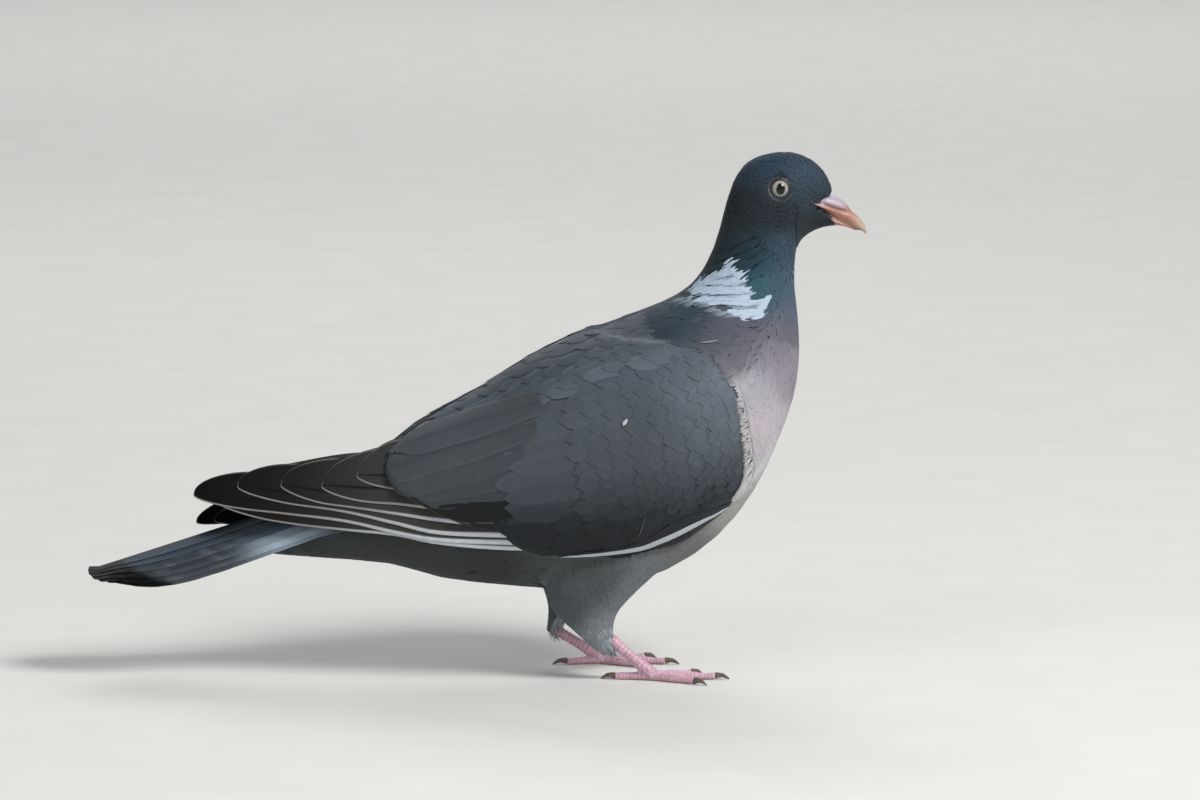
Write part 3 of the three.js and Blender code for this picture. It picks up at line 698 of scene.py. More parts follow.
def coat_form():
    """The coat's outer form, kept between operators."""
    if "form" not in STATE:
        STATE["form_mesh"] = remeshed(FLESH, 1.5 * MM, 5)
        STATE["form"] = Form(STATE["form_mesh"])
        joined = []
        faces, owners = [], []
        for name in FLESH + ["primaries_right", "primaries_left", "tail"]:
            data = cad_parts[name].data
            base = len(joined)
            joined += [v.co.copy() for v in data.vertices]
            for poly in data.polygons:
                faces.append([base + i for i in poly.vertices])
                owners.append(name)
        STATE["owner_tree"], STATE["owners"] = BVHTree.FromPolygons(joined, faces), owners
    return STATE["form"]


def owner(place):
    """The CAD node whose surface is nearest."""
    return STATE["owners"][STATE["owner_tree"].find_nearest(place)[2]]


def bare_of_coverts(place, side):
    """Which body tract covers the wing here: in front of its front edge, or below its white line."""
    share, _ = shares_in("wing_" + side, place)
    angle = math.degrees(math.atan2(abs(place.y), place.z - wing_axis(share)))
    edge = 130 + 9 * math.exp(-((share - 0.74) / 0.12) ** 2)
    if share > 0.42 and angle > edge + 4:
        return "belly"
    front = min(WING_LINES[0], key=lambda row: abs(row[1] - angle))
    return "breast" if share > front[0] + 0.025 else None


def region_of(place, normal):
    """Which tract of the coat a place belongs to, or None where other feathers cover it."""
    name = owner(place)
    if name.startswith("wing"):
        return bare_of_coverts(place, name.split("_")[1])
    if name == "head":
        fx, _ = shares_in("head", place)
        bill = box_of("bill_upper")
        span = Vector((bill[1].x - bill[0].x, 0, box_of("cere")[1].z - bill[0].z))
        if place.x > bill[0].x + 1 * MM and line_gap(GAPE, place, bill[0], span) < 1.8 * MM:
            return None
        eye = (box_of("eye_right")[0] + box_of("eye_right")[1]) / 2
        flat = Vector((place.x - eye.x, 0, place.z - eye.z)).length
        if flat < 5.2 * MM and abs(place.y) > FLANK:
            return None
        return "face" if fx > 0.55 or flat < 9 * MM else "head"
    if name == "neck":
        fx, fz = shares_in("neck", place)
        return "ruff" if abs(place.y) > FLANK and fx < 0.76 and 0.1 < fz < 0.8 else "neck"
    if name.startswith("thigh"):
        return "thigh"
    if name == "rump":
        return "rump"
    if name == "trunk":
        fx, fz = shares_in("trunk", place)
        if normal.z > 0.2 and fz > 0.55 and fx < 0.93:
            return "mantle"
        if fx > 0.62:
            return "breast"
        return "belly"
    return None


class PigeonSizes(bpy.types.PropertyGroup):
    """Sizes of the model's coat."""
    coat_depth: FloatProperty(name="Coat depth",
                              description="How far the skin lies inside the body's plumage",
                              default=0.6 * MM, min=0, subtype="DISTANCE", unit="LENGTH")
    lens: FloatProperty(name="Lens", description="Focal length of the camera", default=200, subtype="NONE")
    seed: IntProperty(name="Seed", description="Seed of every random choice", default=7)


class PigeonColours(bpy.types.PropertyGroup):
    """Colours that a user would change."""
    iris: FloatVectorProperty(name="Iris", description="Pale ring of the eye", subtype="COLOR", size=4,
                              min=0, max=1, default=linear("#9b9a8e"))
    white: FloatVectorProperty(name="White edge", description="White line of the wing", subtype="COLOR",
                               size=4, min=0, max=1, default=linear("#bfc7cd"))


def skin_colour(place):
    """The down's colour: that of the feathers over it."""
    name = owner(place)
    if name.startswith("wing") and not bare_of_coverts(place, name.split("_")[1]):
        share, up = shares_in(name, place)
        if share < 0.5 and abs(place.y) > FLANK and place.z < wing_axis(share) + 4 * MM:
            return rgb("#14181a")
        # darker towards the bottom, following the painted shade of the coverts over it
        return mix(rgb("#2b3035"), rgb("#454b51"), up)
    return plumage_colour_and_shade(place)


def leg_parts():
    """Both legs: scutes ring the tarsus and the toes, with pads beneath."""
    mesh = remeshed(LEGS, 0.4 * MM, 2)
    pink, pale, pad = rgb("#bd92a3"), rgb("#dccbd5"), rgb("#b28e8b")
    verts, tints = [], []
    for vertex, lean in zip(mesh.vertices, [n.vector.copy() for n in mesh.vertex_normals]):
        place = vertex.co.copy()
        side = "right" if place.y < 0 else "left"
        low, high = box_of("tarsus_" + side)
        flat = box_of("foot_" + side)[1].z
        if place.z > flat:
            axis = Vector((high.x - low.x, 0, low.z - high.z)).normalized()
            run = (place - Vector((low.x, 0, high.z))).dot(axis) / (1.9 * MM)
        else:
            run = (Vector((place.x, place.y)) - Vector((high.x, (low.y + high.y) / 2))).length / (1.6 * MM)
        wave = (run + 0.3 * noise.noise(place * 300)) % 1.0
        groove = max(0.0, 1 - min(wave, 1 - wave) / 0.25)
        tone = mix(pink, pale, 0.55 * groove)
        if lean.z < -0.4 and place.z < flat * 0.5:
            tone, groove = pad, 0.5 + 0.5 * noise.noise(place * 1500)
        verts.append(place - lean * (groove * 0.13 * MM))
        tints.append([c * (1 + 0.25 * noise.noise(place * 700)) for c in tone])
    return verts, [list(p.vertices) for p in mesh.polygons], tints


def eye_frame(side):
    """The eyeball's centre, radius, the way it looks and two ways across it."""
    low, high = box_of("eye_" + side)
    axis = Vector((0.12, SIDES[side], 0.02)).normalized()
    first = axis.cross(Vector((0, 0, 1))).normalized()
    return (low + high) / 2, (high.z - low.z) / 2, axis, first, axis.cross(first)


# the eyelids' rings: radius in mm, share on the eyeball, rise in mm and colour
LIDS = [(3.9, 1.0, -0.25, "#0b0c0d"), (4.0, 1.0, 0.12, "#121314"), (4.2, 0.85, 0.3, "#15171a"),
        (4.45, 0.6, 0.22, "#23282d"), (4.75, 0.35, 0.28, "#353c43"), (5.1, 0.15, 0.26, "#2e353c"),
        (5.5, 0.0, 0.15, "#252c33"), (6.1, 0.0, -0.25, "#202930")]


def lid_parts(side):
    """The bare ring round an eye: a dark rim on the eyeball, a wrinkled grey ring, then the head's skin."""
    form = coat_form()
    centre, radius, axis, first, second = eye_frame(side)
    around, verts, tints = 96, [], []
    rand = random.Random(5)
    wrinkle = [rand.uniform(-1, 1) for _ in range(around)]
    for r, on_ball, rise, code in LIDS:
        for j in range(around):
            b = 2 * math.pi * j / around
            foot = centre + (first * math.cos(b) + second * math.sin(b)) * (r * MM)
            ball = foot + axis * math.sqrt(max(0.0, radius ** 2 - (r * MM) ** 2))
            place = form.near(foot + axis * radius)[0].lerp(ball, on_ball)
            verts.append(place + axis * ((rise + 0.06 * wrinkle[j] * (4.3 < r < 5.3)) * MM))
            tints.append([c * (1 + 0.12 * wrinkle[(j * 7) % around]) for c in rgb(code)])
    rings = len(LIDS)
    for i in (rings - 1, 0):                    # the ring's hidden back closes it
        for j in range(around):
            verts.append(verts[i * around + j] - axis * (1.2 * MM))
            tints.append([0.005] * 3)
    rings += 2
    faces = [[i * around + j, i * around + (j + 1) % around, (i + 1) % rings * around + (j + 1) % around,
              (i + 1) % rings * around + j] for i in range(rings) for j in range(around)]
    return verts, faces, tints


class PIGEON_OT_skin(bpy.types.Operator):
    """Builds the one skin under the plumage, with its bare legs and eyelids"""
    bl_idname = "pigeon.skin"
    bl_label = "Skin and legs"

    def execute(self, context):
        coat_form()
        body = STATE["form_mesh"]
        depth = context.scene.pigeon_sizes.coat_depth
        depths = {"head": 0.3 * MM, "neck": 0.42 * MM, "thigh_right": 0.4 * MM, "thigh_left": 0.4 * MM}
        verts, tints = [], []
        for vertex, lean in zip(body.vertices, [n.vector.copy() for n in body.vertex_normals]):
            verts.append(vertex.co - lean * depths.get(owner(vertex.co), depth))
            tints.append([c * 0.92 for c in skin_colour(vertex.co)])
        faces = [list(p.vertices) for p in body.polygons]
        covered = len(faces)
        for more, rings, shades in (leg_parts(), lid_parts("right"), lid_parts("left")):
            faces += [[len(verts) + i for i in face] for face in rings]
            verts += more
            tints += shades
        mesh = bpy.data.meshes.new("skin")
        mesh.from_pydata(verts, [], faces)
        painted(mesh, tints, "POINT")
        # the first gives soft dark down between the feathers, the second waxy scales with a little glow
        for title, grain, relief_depth, rough, sheen, sss in (
                ("Skin under down", 0.0011, 0.0003, 0.85, 0.2, 0.0),
                ("Bare skin, horny scales", 0.0006, 0.0001, 0.5, 0.0, 0.12)):
            material, tree = blank_material(title)
            colour = add(tree, "ShaderNodeAttribute", {"attribute_name": "Plumage"})
            place = add(tree, "ShaderNodeTexCoord")
            down = add(tree, "ShaderNodeTexNoise", {"Scale": 1 / grain, "Detail": 3.0},
                       Vector=place.outputs["Object"])
            relief = add(tree, "ShaderNodeBump", {"Strength": 0.3, "Distance": relief_depth},
                         Height=down.outputs[0])
            close(tree, add(tree, "ShaderNodeBsdfPrincipled",
                            {"Roughness": rough, "Sheen Weight": sheen, "Subsurface Weight": sss,
                             "Subsurface Scale": 0.001},
                            Base_Color=colour.outputs["Color"], Normal=relief.outputs[0]))
            mesh.materials.append(material)
        mesh.polygons.foreach_set("material_index", [int(i >= covered) for i in range(len(faces))])
        bm = bmesh.new()
        bm.from_mesh(mesh)
        bmesh.ops.recalc_face_normals(bm, faces=bm.faces)
        bm.to_mesh(mesh)
        bm.free()
        skin = show("skin", mesh, None, "body_plumage")
        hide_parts(*FLESH, *LEGS)
        return {"FINISHED"}


class PIGEON_OT_coat(bpy.types.Operator):
    """Lays the contour feathers of the head, neck, breast, belly, back and thighs"""
    bl_idname = "pigeon.coat"
    bl_label = "Body plumage"

    def execute(self, context):
        form = coat_form()
        seed = context.scene.pigeon_sizes.seed
        spacing = {name: row[0] * MM for name, row in TUFTS.items()}
        sites = scatter(form, region_of, spacing, seed)
        coats = {name: Coat(seed + i) for i, name in enumerate(TUFTS)}
        for place, normal, region in sites:
            _, length, width, depth, slope, rows, cols = TUFTS[region]
            coat = coats[region]
            grow = coat.random.uniform(0.88, 1.12)
            tone = coat.random.uniform(0.96, 1.04)
            flow = thigh_lie if region == "thigh" else lie
            way = flow(place, normal)
            seen = form.near(place + way * (length * 0.6 * MM))[0]
            base = plumage_colour_and_shade(seen)
            if region in ("ruff", "neck"):
                paint = shaded(base, edge=[c * 1.05 for c in base], edge_from=0.6, jitter=tone, dark_root=0.9)
            else:
                paint = faded(plumage_colour_and_shade(place), plumage_colour_and_shade(place + way * (length * MM)), tone)
            lay(coat, form, place, way, length * grow * MM, width * MM, depth * MM, paint, rows, cols,
                lift=coat.random.uniform(0.0, 0.05 + 0.25 * slope) - 0.3 * furrow(seen), slope=slope,
                flow=flow, rag=0.07, edge_tuck=0.02 * width, thick=0.05 if width < 3 else 0.1)
        for place, normal, side in scatter(form, ankle, {"right": 0.8 * MM, "left": 0.8 * MM}, seed + 3):
            low, high = box_of("tarsus_" + side)
            aim = Vector((low.x * 0.55 + high.x * 0.45, (low.y + high.y) / 2, low.z))
            way = (aim - place).normalized()
            way = (way - normal * way.dot(normal) * 0.8).normalized()
            strand(coats["thigh"], place, normal, way, coats["thigh"].random.uniform(5, 8) * MM, 0.9 * MM,
                   mix(rgb("#7a8389"), rgb("#b4bbc1"), coats["thigh"].random.random()))
        vane = feather_material("Contour feather, soft keratin barbs", 0.5, 0.2, 0.75)
        slots = {"face": "head_plumage", "head": "head_plumage", "neck": "neck_plumage",
                 "rump": "rump_plumage"}
        for name, coat in coats.items():
            coat.build("coat_" + name, vane, slots.get(name, "body_plumage"))
        return {"FINISHED"}


def ankle(place, normal):
    """The side of an ankle where a place lies, or None."""
    name = owner(place)
    if name.startswith("thigh") and place.z < box_of(name)[0].z + 15 * MM:
        return name.split("_")[1]


def thigh_lie(place, normal):
    """The feathers of the thigh point down the leg."""
    return lying(Vector((-0.1, 0, -1)), normal)


# the coverts' lower colour is painted shade on the wing's lower part, which is turned from the light
WING_TOP, WING_MIDDLE, WING_SHADED_BOTTOM = rgb("#48505a"), rgb("#434a51"), rgb("#171c21")


def wing_tone(t):
    """The coverts' colour from the wing's top, 0, to its lower edge, 1, darkened below with painted shade."""
    if t < 0.45:
        return mix(WING_TOP, WING_MIDDLE, t / 0.45)
    return mix(WING_MIDDLE, WING_SHADED_BOTTOM, min(1, (t - 0.45) / 0.35))


def row(coat, form, side, lines, s, t0, t1, count, length, width, depth, base_of, half=0.0, rows=7, cols=5,
        lift=0.1):
    """Lays one row of coverts across the lines, from t0 to t1; half shifts it by that share of a feather."""
    rand, step = coat.random, 0.04
    for k in range(count):
        t = t0 + (t1 - t0) * min(1, max(0, (k + 0.5 + half + rand.uniform(-.15, .15)) / count))
        at = max(0, min(1 - step, s + rand.uniform(-.014, .014)))
        here, _ = wing_place(form, side, *grid_at(lines, at, t))
        way = wing_place(form, side, *grid_at(lines, at + step, t))[0] - here
        base = base_of(t)
        long = length * rand.uniform(.92, 1.08) * MM
        pale = [c * 1.08 for c in base]
        paint = shaded(base, edge=pale, edge_from=0.7, jitter=rand.uniform(.93, 1.07),
                       shaft=[c * 0.92 for c in base], tip=[c * 1.08 * 1.08 for c in base], tip_from=0.95,
                       dark_root=0.9)
        lay(coat, form, here, way, long, width * MM, depth * MM, paint, rows, cols, outline=covert_outline,
            lift=lift + rand.uniform(0, .1), slope=0.6, rag=0.01, thick=0.06, edge_tuck=0.12, sweep=0.1)


def shift(i):
    """Every second row stands half a feather further."""
    return 0.5 * (i % 2) - .25


def lay_coverts(coat, form, side):
    """The lesser, median and greater coverts, and those of the hand along the lower edge."""
    def brighter(i):
        gain = max(0, 0.62 - 0.085 * i)
        return lambda t: [c * (1 + gain * ramp(t, 0.05, 0.3)) for c in wing_tone(t)]

    for i in range(10):
        row(coat, form, side, WING_LINES, i * 0.051, 0, 0.78, 13, 14, 10.4, 1.2, brighter(i), half=shift(i))
    for i in range(3):
        row(coat, form, side, WING_LINES, 0.48 + i * 0.07, 0, 0.88, 13, 21 + 2 * i, 12.5, 1.2, wing_tone,
            half=shift(i), rows=8)
    row(coat, form, side, WING_LINES, 0.74, 0, 0.97, 14, 42, 13, 1.2, wing_tone, rows=11, cols=7)
    for i in range(6):
        row(coat, form, side, WING_LINES, 0.02 + i * 0.172, 0.74, 1.0, 3, 28, 14, 1.2, wing_tone,
            half=shift(i), rows=8, cols=7)


def lay_long_feathers(coat, form, side):
    """The secondaries that show under the coverts, and the tertials over the back."""
    hidden = rgb("#0e1112")
    for k, (root, tip) in enumerate(SECONDARIES):
        here, there = wing_place(form, side, *root)[0], wing_place(form, side, *tip)[0]
        lay(coat, form, here, there - here, (there - here).length, 13 * MM, 0.5 * MM,
            shaded(hidden, edge=rgb("#5c6162"), edge_from=0.93, dark_root=1), 14, 11,
            outline=quill_outline, lift=0.12 * k - 0.3, slope=0.2, rag=0.006, thick=0.15)
    for k, (root, tip) in enumerate(TERTIALS):
        tertial = [c * (0.78 + 0.06 * k) for c in rgb("#43484e")]
        here, there = wing_place(form, side, *root)[0], wing_place(form, side, *tip)[0]
        lay(coat, form, here, there - here, (there - here).length * 1.02, 20 * MM, 1.5 * MM,
            shaded(tertial, edge=[c * 1.2 for c in tertial], edge_from=0.85,
                   shaft=[c * 0.7 for c in tertial]), 14, 9, outline=quill_outline,
            lift=0.22 * k - 0.05, slope=0.4, rag=0.006, thick=0.25)


def lay_scapulars(coat, form, side):
    """The shoulder feathers, darker towards the back."""
    for i in range(12):
        row(coat, form, side, SCAPULAR_LINES, i * 0.07, 0, 1, 6, 22, 11, 1.0,
            lambda t: mix(rgb("#28323c"), rgb("#565e67"), t ** 1.8), half=shift(i), rows=8, lift=0.3)


FRONT_TUFTS = 1200                              # breast feathers over the wing's front edge
FRONT_STRANDS = 430                             # and the fine pale fringe that they end in


def lay_front_edge(coat, form, side):
    """The breast feathers that lap over the wing's front edge, with their fringe."""
    rand, cream = coat.random, rgb("#b4b4b4")
    for i in range(FRONT_TUFTS):
        t = (i + rand.uniform(0, .8)) / FRONT_TUFTS
        share, angle = curve(WING_LINES[0], t)
        here, _ = wing_place(form, side, share + rand.uniform(0.0, 0.02 + 0.035 * ramp(t, .1, .4)), angle)
        there, _ = wing_place(form, side, share - 0.03, angle + 4)
        seen = here + (here - there).normalized() * (2 * MM)
        tint = plumage_colour_and_shade(seen)
        lay(coat, form, here, there - here, rand.uniform(5.2, 7.5) * MM, 1.3 * MM, 0.3 * MM,
            faded(tint, mix(tint, cream, 0.4 * ramp(t, .3, .5)), 1), 6, 3,
            lift=rand.uniform(.2, .4), slope=0.3, rag=0.05, thick=0.04, edge_tuck=0.03)
    for i in range(FRONT_STRANDS):
        t = 0.32 + 0.66 * (i + rand.uniform(0, 1.5)) / FRONT_STRANDS
        share, angle = curve(WING_LINES[0], t)
        here, n = wing_place(form, side, share - rand.uniform(0.006, 0.016), angle)
        there, _ = wing_place(form, side, share - 0.04, angle + rand.uniform(-2, 6))
        way = (there - here).normalized()
        strand(coat, here + n * 0.36 * MM, n, way, rand.uniform(2.0, 3.6) * MM, 0.28 * MM,
               mix(rgb("#8f9094"), rgb("#cdcdcd"), ramp(t, .3, .5) * rand.uniform(.5, 1)))


def lay_small_marks(coat, form, side):
    """The few pale streaks on the wing."""
    for share, angle, aim, long, wide, code in SMALL_MARKS:
        here, _ = wing_place(form, side, share, angle)
        lay(coat, form, here, wing_place(form, side, share - 0.03, angle + aim)[0] - here, long * MM,
            wide * MM, 0.2 * MM, shaded(rgb(code), dark_root=1), 6, 3, lift=0.75, slope=0.3,
            thick=0.05, edge_tuck=0.05)


EDGE_STEPS = 48                                 # rows of the white line, from front to back


def lay_white_edge(coat, form, side, white):
    """The white line of the wing, in the wing's colour above and dark below, partly painted shadow, hung from
    its lower edge.
    """
    out = Vector((0, SIDES[side], 0))
    grid, leans = [], []
    edges = [lower_edge(form, side, curve(WHITE_EDGE, i / (EDGE_STEPS - 1))[0]) for i in range(EDGE_STEPS)]
    for i in range(EDGE_STEPS):
        u = i / (EDGE_STEPS - 1)
        share, under = curve(WHITE_EDGE, u)
        wide = 2.8 * min(1.0, 3.6 * u * (1 - u) + 0.08) * (1.1 - 0.35 * u)
        near = edges[max(0, i - 3):i + 4]
        foot = sum(near, Vector()) / len(near)
        hang = 4.2 * math.exp(-((share - 0.80) / 0.09) ** 2)
        points, norms, last = [], [], None
        # height above the edge and distance from the wing, in mm
        for f, lift in ((under + wide + hang + 1.2, .15), (under + wide + 0.15, .5), (under + wide, .6),
                        (under + wide * 2 / 3, .9), (under + wide / 3, 1.0), (under, 1.0),
                        (under - 0.1, .95), (under * 0.5, .9), (0, .6)):
            start = Vector((foot.x, SIDES[side] * 0.2, foot.z + (f - hang) * MM))
            p, n = form.along(start, -out)
            if p is None or (last and abs(p.y) < abs(last[0].y) - 1.2 * MM):
                fall = 0.75 * (last[0].z - start.z)
                p, n = Vector((foot.x, last[0].y - SIDES[side] * fall, start.z)), last[1]
            last = (p, n)
            points.append(p + out * (lift * MM))
            norms.append(n)
        grid.append(points)
        leans.append(norms)
    # the last three rows: the dark coverts under the white line, and painted shadow under the wing's edge
    tints = [[rgb("#1b2025")] * 2 + [white] * 4 + [rgb("#05070b")] * 3] * EDGE_STEPS
    coat.add(grid, leans, tints, 70, 4, home_of(grid[0][0]), 0.15 * MM, 0.01)


class PIGEON_OT_wings(bpy.types.Operator):
    """Lays the coverts, scapulars and tertials of both wings"""
    bl_idname = "pigeon.wings"
    bl_label = "Wing coverts"

    def execute(self, context):
        form = coat_form()
        seed = context.scene.pigeon_sizes.seed
        white = context.scene.pigeon_colours.white[:3]
        vane = feather_material("Wing covert, firm keratin barbs", 0.6, 0.2, 0.6)
        for side in SIDES:
            coat = Coat(seed + 20)
            lay_coverts(coat, form, side)
            lay_long_feathers(coat, form, side)
            lay_scapulars(coat, form, side)
            lay_front_edge(coat, form, side)
            lay_small_marks(coat, form, side)
            lay_white_edge(coat, form, side, white)
            coat.build("wing_coverts_" + side, vane, "wing_plumage")
        return {"FINISHED"}


def along_line(points, shares):
    """Places at shares of the length of a smooth curve through points."""
    fine = [Vector(curve(points, i / 200)) for i in range(201)]
    run = [0.0]
    for p, q in zip(fine, fine[1:]):
        run.append(run[-1] + (q - p).length)
    placed = []
    for share in shares:
        goal = run[-1] * share
        i = min(max(1, int(np.searchsorted(run, goal))), 200)
        placed.append(fine[i - 1].lerp(fine[i], (goal - run[i - 1]) / max(1e-9, run[i] - run[i - 1])))
    return placed


def web_columns(width, line):
    """Shares across a flight feather, with close columns on both sides of its pale edge line."""
    e = min(0.2, line / width)
    return [0, e, e + 0.02, 0.22 + e / 2, 0.30, 0.33, 0.5, 0.7, 0.86, 0.955, 1]


# flight feathers, outermost first: axis as shares of the primaries' box from tip to root, width and
# width of the pale edge in mm at tip and root
QUILLS = [
    ([(.05, .48), (.168, .41), (.322, .335), (.476, .285), (.63, .24), (.753, .16), (.938, .11), (1.1, .11)],
     15, 0.5, 1.5),
    ([(-.004, .505), (.168, .475), (.322, .43), (.476, .372), (.63, .26), (.753, .19), (.938, .17),
      (1.1, .17)], 16, 0.5, 1.9),
    ([(.131, .60), (.322, .535), (.476, .47), (.63, .36), (.753, .27), (.938, .25), (1.1, .25)],
     17, 0.5, 2.1),
    ([(.266, .625), (.38, .56), (.476, .53), (.63, .465), (.753, .41), (.938, .36), (1.1, .36)],
     20, 0.5, 1.9),
    ([(.393, .625), (.50, .585), (.63, .57), (.753, .53), (.938, .48), (1.1, .46)], 23, 0.6, 1.1),
    ([(.501, .74), (.56, .72), (.63, .71), (.753, .67), (.938, .62), (1.1, .58)], 23, 0.5, 0.8),
    ([(.756, .45), (.815, .374), (.938, .331), (1.06, .30)], 15, 0.5, 0.5),
]
# how pale the webs are from the primaries' tip to their root
PALER = [0, .06, .16, .38, .7, .85, .95, 1]
LOWER_WEB = 4.7                                 # mm below a flight feather's shaft
FAR_DROOP = 0.015                               # how far the left wing's tip hangs lower than the right one's
DROOP_FROM, DROOP_RUN = -0.0313, 0.095          # where that begins, and over what length
FAR_DIP = 0.0015                                # how far the left wing dips near its middle
DIP_AT, DIP_RUN = -0.032, 0.03                  # where, and over what length


class PIGEON_OT_quills(bpy.types.Operator):
    """Builds the folded flight feathers of both wings"""
    bl_idname = "pigeon.quills"
    bl_label = "Flight feathers"

    def execute(self, context):
        low, high = box_of("primaries_right")
        span = high - low
        vane = feather_material("Flight feather, stiff dark keratin", 0.6, 0.0, 0.6, 0.06)
        web, tipped, shaft = rgb("#3f3f3e"), rgb("#0d0b0a"), rgb("#0f0e0d")
        dull, white = rgb("#85827f"), rgb("#ccd2d8")

        def terms(x, z):
            return [1.0, x, z, x * z, z * z]

        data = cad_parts["primaries_right"].data
        outer = [p.center.copy() for p in data.polygons if p.normal.y < -0.3]
        fit = np.linalg.lstsq(np.array([terms(p.x, p.z) for p in outer]), np.array([p.y for p in outer]),
                              rcond=None)[0]
        for side, sign in SIDES.items():
            coat = Coat(31, own=0.5)
            for k, (axis, width, line_tip, line_root) in enumerate(QUILLS):
                path = along_line([(low.x + span.x * x, 0, low.z + span.z * z) for x, z in axis[::-1]],
                                  tip_shares(44))
                length = sum((q - p).length for p, q in zip(path, path[1:]))
                columns = web_columns(width, 1.5)
                grid, leans, tints = [], [], []
                run = 0.0
                for i, here in enumerate(path):
                    if i:
                        run += (here - path[i - 1]).length
                    u = run / length
                    ahead = (path[min(i + 1, len(path) - 1)] - path[max(i - 1, 0)]).normalized()
                    upward = Vector((-ahead.z, 0, ahead.x))
                    if upward.z < 0:
                        upward.negate()
                    to_tip = max(0.0, length - run) / (28 * MM)
                    ending = 0.03 + 0.97 * math.sqrt(max(0.0, 1 - max(0.0, 1 - to_tip) ** 1.6))
                    full = width * MM + 0.3 * max(0.0, length - run - 25 * MM)
                    wide = full * ending
                    line = (line_root + (line_tip - line_root) * min(1, u * 1.25)) * MM
                    columns = web_columns(max(wide, 2 * MM), line)
                    points, norms, shades = [], [], []
                    for j, f in enumerate(columns):
                        q = here + upward * (wide * f - LOWER_WEB * MM * ending)
                        y = float(np.dot(fit, terms(q.x, q.z)))
                        y = -y * sign + sign * (0.45 * k - 1.3) * MM
                        dome = 0.5 * MM * math.sin(math.pi * min(1, max(0, (f + 0.1) / 1.2)))
                        if sign > 0:
                            q.z -= FAR_DROOP * max(0.0, (DROOP_FROM - q.x) / DROOP_RUN) ** 1.4
                            q.z -= FAR_DIP * math.exp(-((q.x - DIP_AT) / DIP_RUN) ** 2)
                        points.append(Vector((q.x, y + sign * dome, q.z)))
                        norms.append(Vector((0, sign, 0.25)).normalized())
                        body = mix(tipped, web, profile(PALER, (q.x - low.x) / span.x))
                        pale = mix(white, dull, min(1, max(0, (u - 0.25) / 0.45)))
                        if j <= 1 or (j == 10 and to_tip < 0.9) or i >= len(path) - 2:
                            shades.append(pale if j <= 1 else mix(body, dull, 0.5))
                        elif j == 4:
                            shades.append(shaft)
                        else:
                            shades.append(body)
                    grid.append(points)
                    leans.append(norms)
                    tints.append(shades)
                coat.add(grid, leans, tints, length / MM, width, (0.03 + 0.15 * k, 0.3 * (sign > 0) + 0.1),
                         0.3 * MM, 0.02)
            piece = coat.build("quills_" + side, vane, "flight_feather")
            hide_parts("primaries_" + side)
        return {"FINISHED"}


class Section:
    """The tail's upper surface unrolled: a share of its length and the distance from its ridge."""

    def __init__(self, nodes, low, high):
        verts, faces = [], []
        for name in nodes:
            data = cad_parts[name].data
            base = len(verts)
            verts += [v.co.copy() for v in data.vertices]
            faces += [[base + i for i in p.vertices] for p in data.polygons]
        tree = BVHTree.FromPolygons(verts, faces)
        self.low, self.high, self.rings = low, high, []
        count = 40
        for i in range(count + 1):
            x = low + (high - low) * i / count
            top = tree.ray_cast(Vector((x, 0, 0.3)), Vector((0, 0, -1)))[0]
            centre = Vector((x, 0, (top.z if top else 0.05) - 0.013))
            ring = []
            for angle in range(0, 116, 5):
                a = math.radians(angle)
                out = Vector((0, -math.sin(a), math.cos(a)))
                hit = tree.ray_cast(centre + out * 0.1, -out)[0]
                if hit is None or (hit - centre).dot(out) < 0 or (ring and hit.y > ring[-1].y + 0.4 * MM):
                    break
                ring.append(hit)
            self.rings.append(ring)
        whole = [i for i, ring in enumerate(self.rings) if len(ring) > 8]
        for i, ring in enumerate(self.rings):
            if i not in whole:                  # past the tip: the nearest whole ring, moved along
                near = min(whole, key=lambda k: abs(k - i))
                shift = Vector(((high - low) * (i - near) / count, 0, 0))
                self.rings[i] = [p + shift for p in self.rings[near]]
        self.runs = []
        for ring in self.rings:
            run = [0.0]
            for p, q in zip(ring, ring[1:]):
                run.append(run[-1] + (q - p).length)
            self.runs.append(run)
        ends = [run[-1] for run in self.runs]
        windows = [ends[max(0, i - 4):i + 5] for i in range(len(ends))]
        self.reaches = [sum(window) / len(window) for window in windows]

    def ring_at(self, i, s):
        """The place and outward direction on one ring, at s from the ridge."""
        ring, run = self.rings[i], self.runs[i]
        j = min(max(1, int(np.searchsorted(run, s))), len(ring) - 1)
        part = (s - run[j - 1]) / max(1e-6, run[j] - run[j - 1])
        step = ring[j] - ring[j - 1]
        lean = Vector((0, step.z, -step.y))
        return ring[j - 1] + step * part, lean.normalized()

    def reach(self, x):
        """How far it is from the ridge to the side edge at x."""
        count = len(self.rings) - 1
        f = min(max((x - self.low) / (self.high - self.low), 0), 0.9999) * count
        i = int(f)
        return self.reaches[i] + (self.reaches[i + 1] - self.reaches[i]) * (f - i)

    def at(self, x, s, side):
        """The place and outward direction at x and at s from the ridge, on the side -1 or 1."""
        if s < 0:
            return self.at(x, -s, -side)
        count = len(self.rings) - 1
        f = min(max((x - self.low) / (self.high - self.low), 0), 0.9999) * count
        i = int(f)
        (p, m), (q, n) = self.ring_at(i, s), self.ring_at(i + 1, s)
        place, lean = p.lerp(q, f - i), m.lerp(n, f - i).normalized()
        place.x = x
        if side > 0:
            place.y, lean.y = -place.y, -lean.y
        return place, lean


# tail feathers from the middle one out: shares of the tail's length at the tip and of its half width, and
# colours of the web and of its pale part
TAIL_TIPS = (0.004, 0.004, 0.008, 0.020, 0.042, 0.070)
TAIL_MIDDLES = (0.10, 0.26, 0.43, 0.58, 0.69, 0.75)
TAIL_WEBS = ("#2a3643", "#2a343e", "#2c333a", "#2b3137", "#30353b", "#33383d")
TAIL_PALES = ("#3c4955", "#3a444e", "#4c5763", "#82909e", "#95a3b0", "#78848f")
# height of the black end band, as a share, from the tip to the middle of the tail
TAIL_BAND = [.34, .22, .13, .05, -.1, -.2]


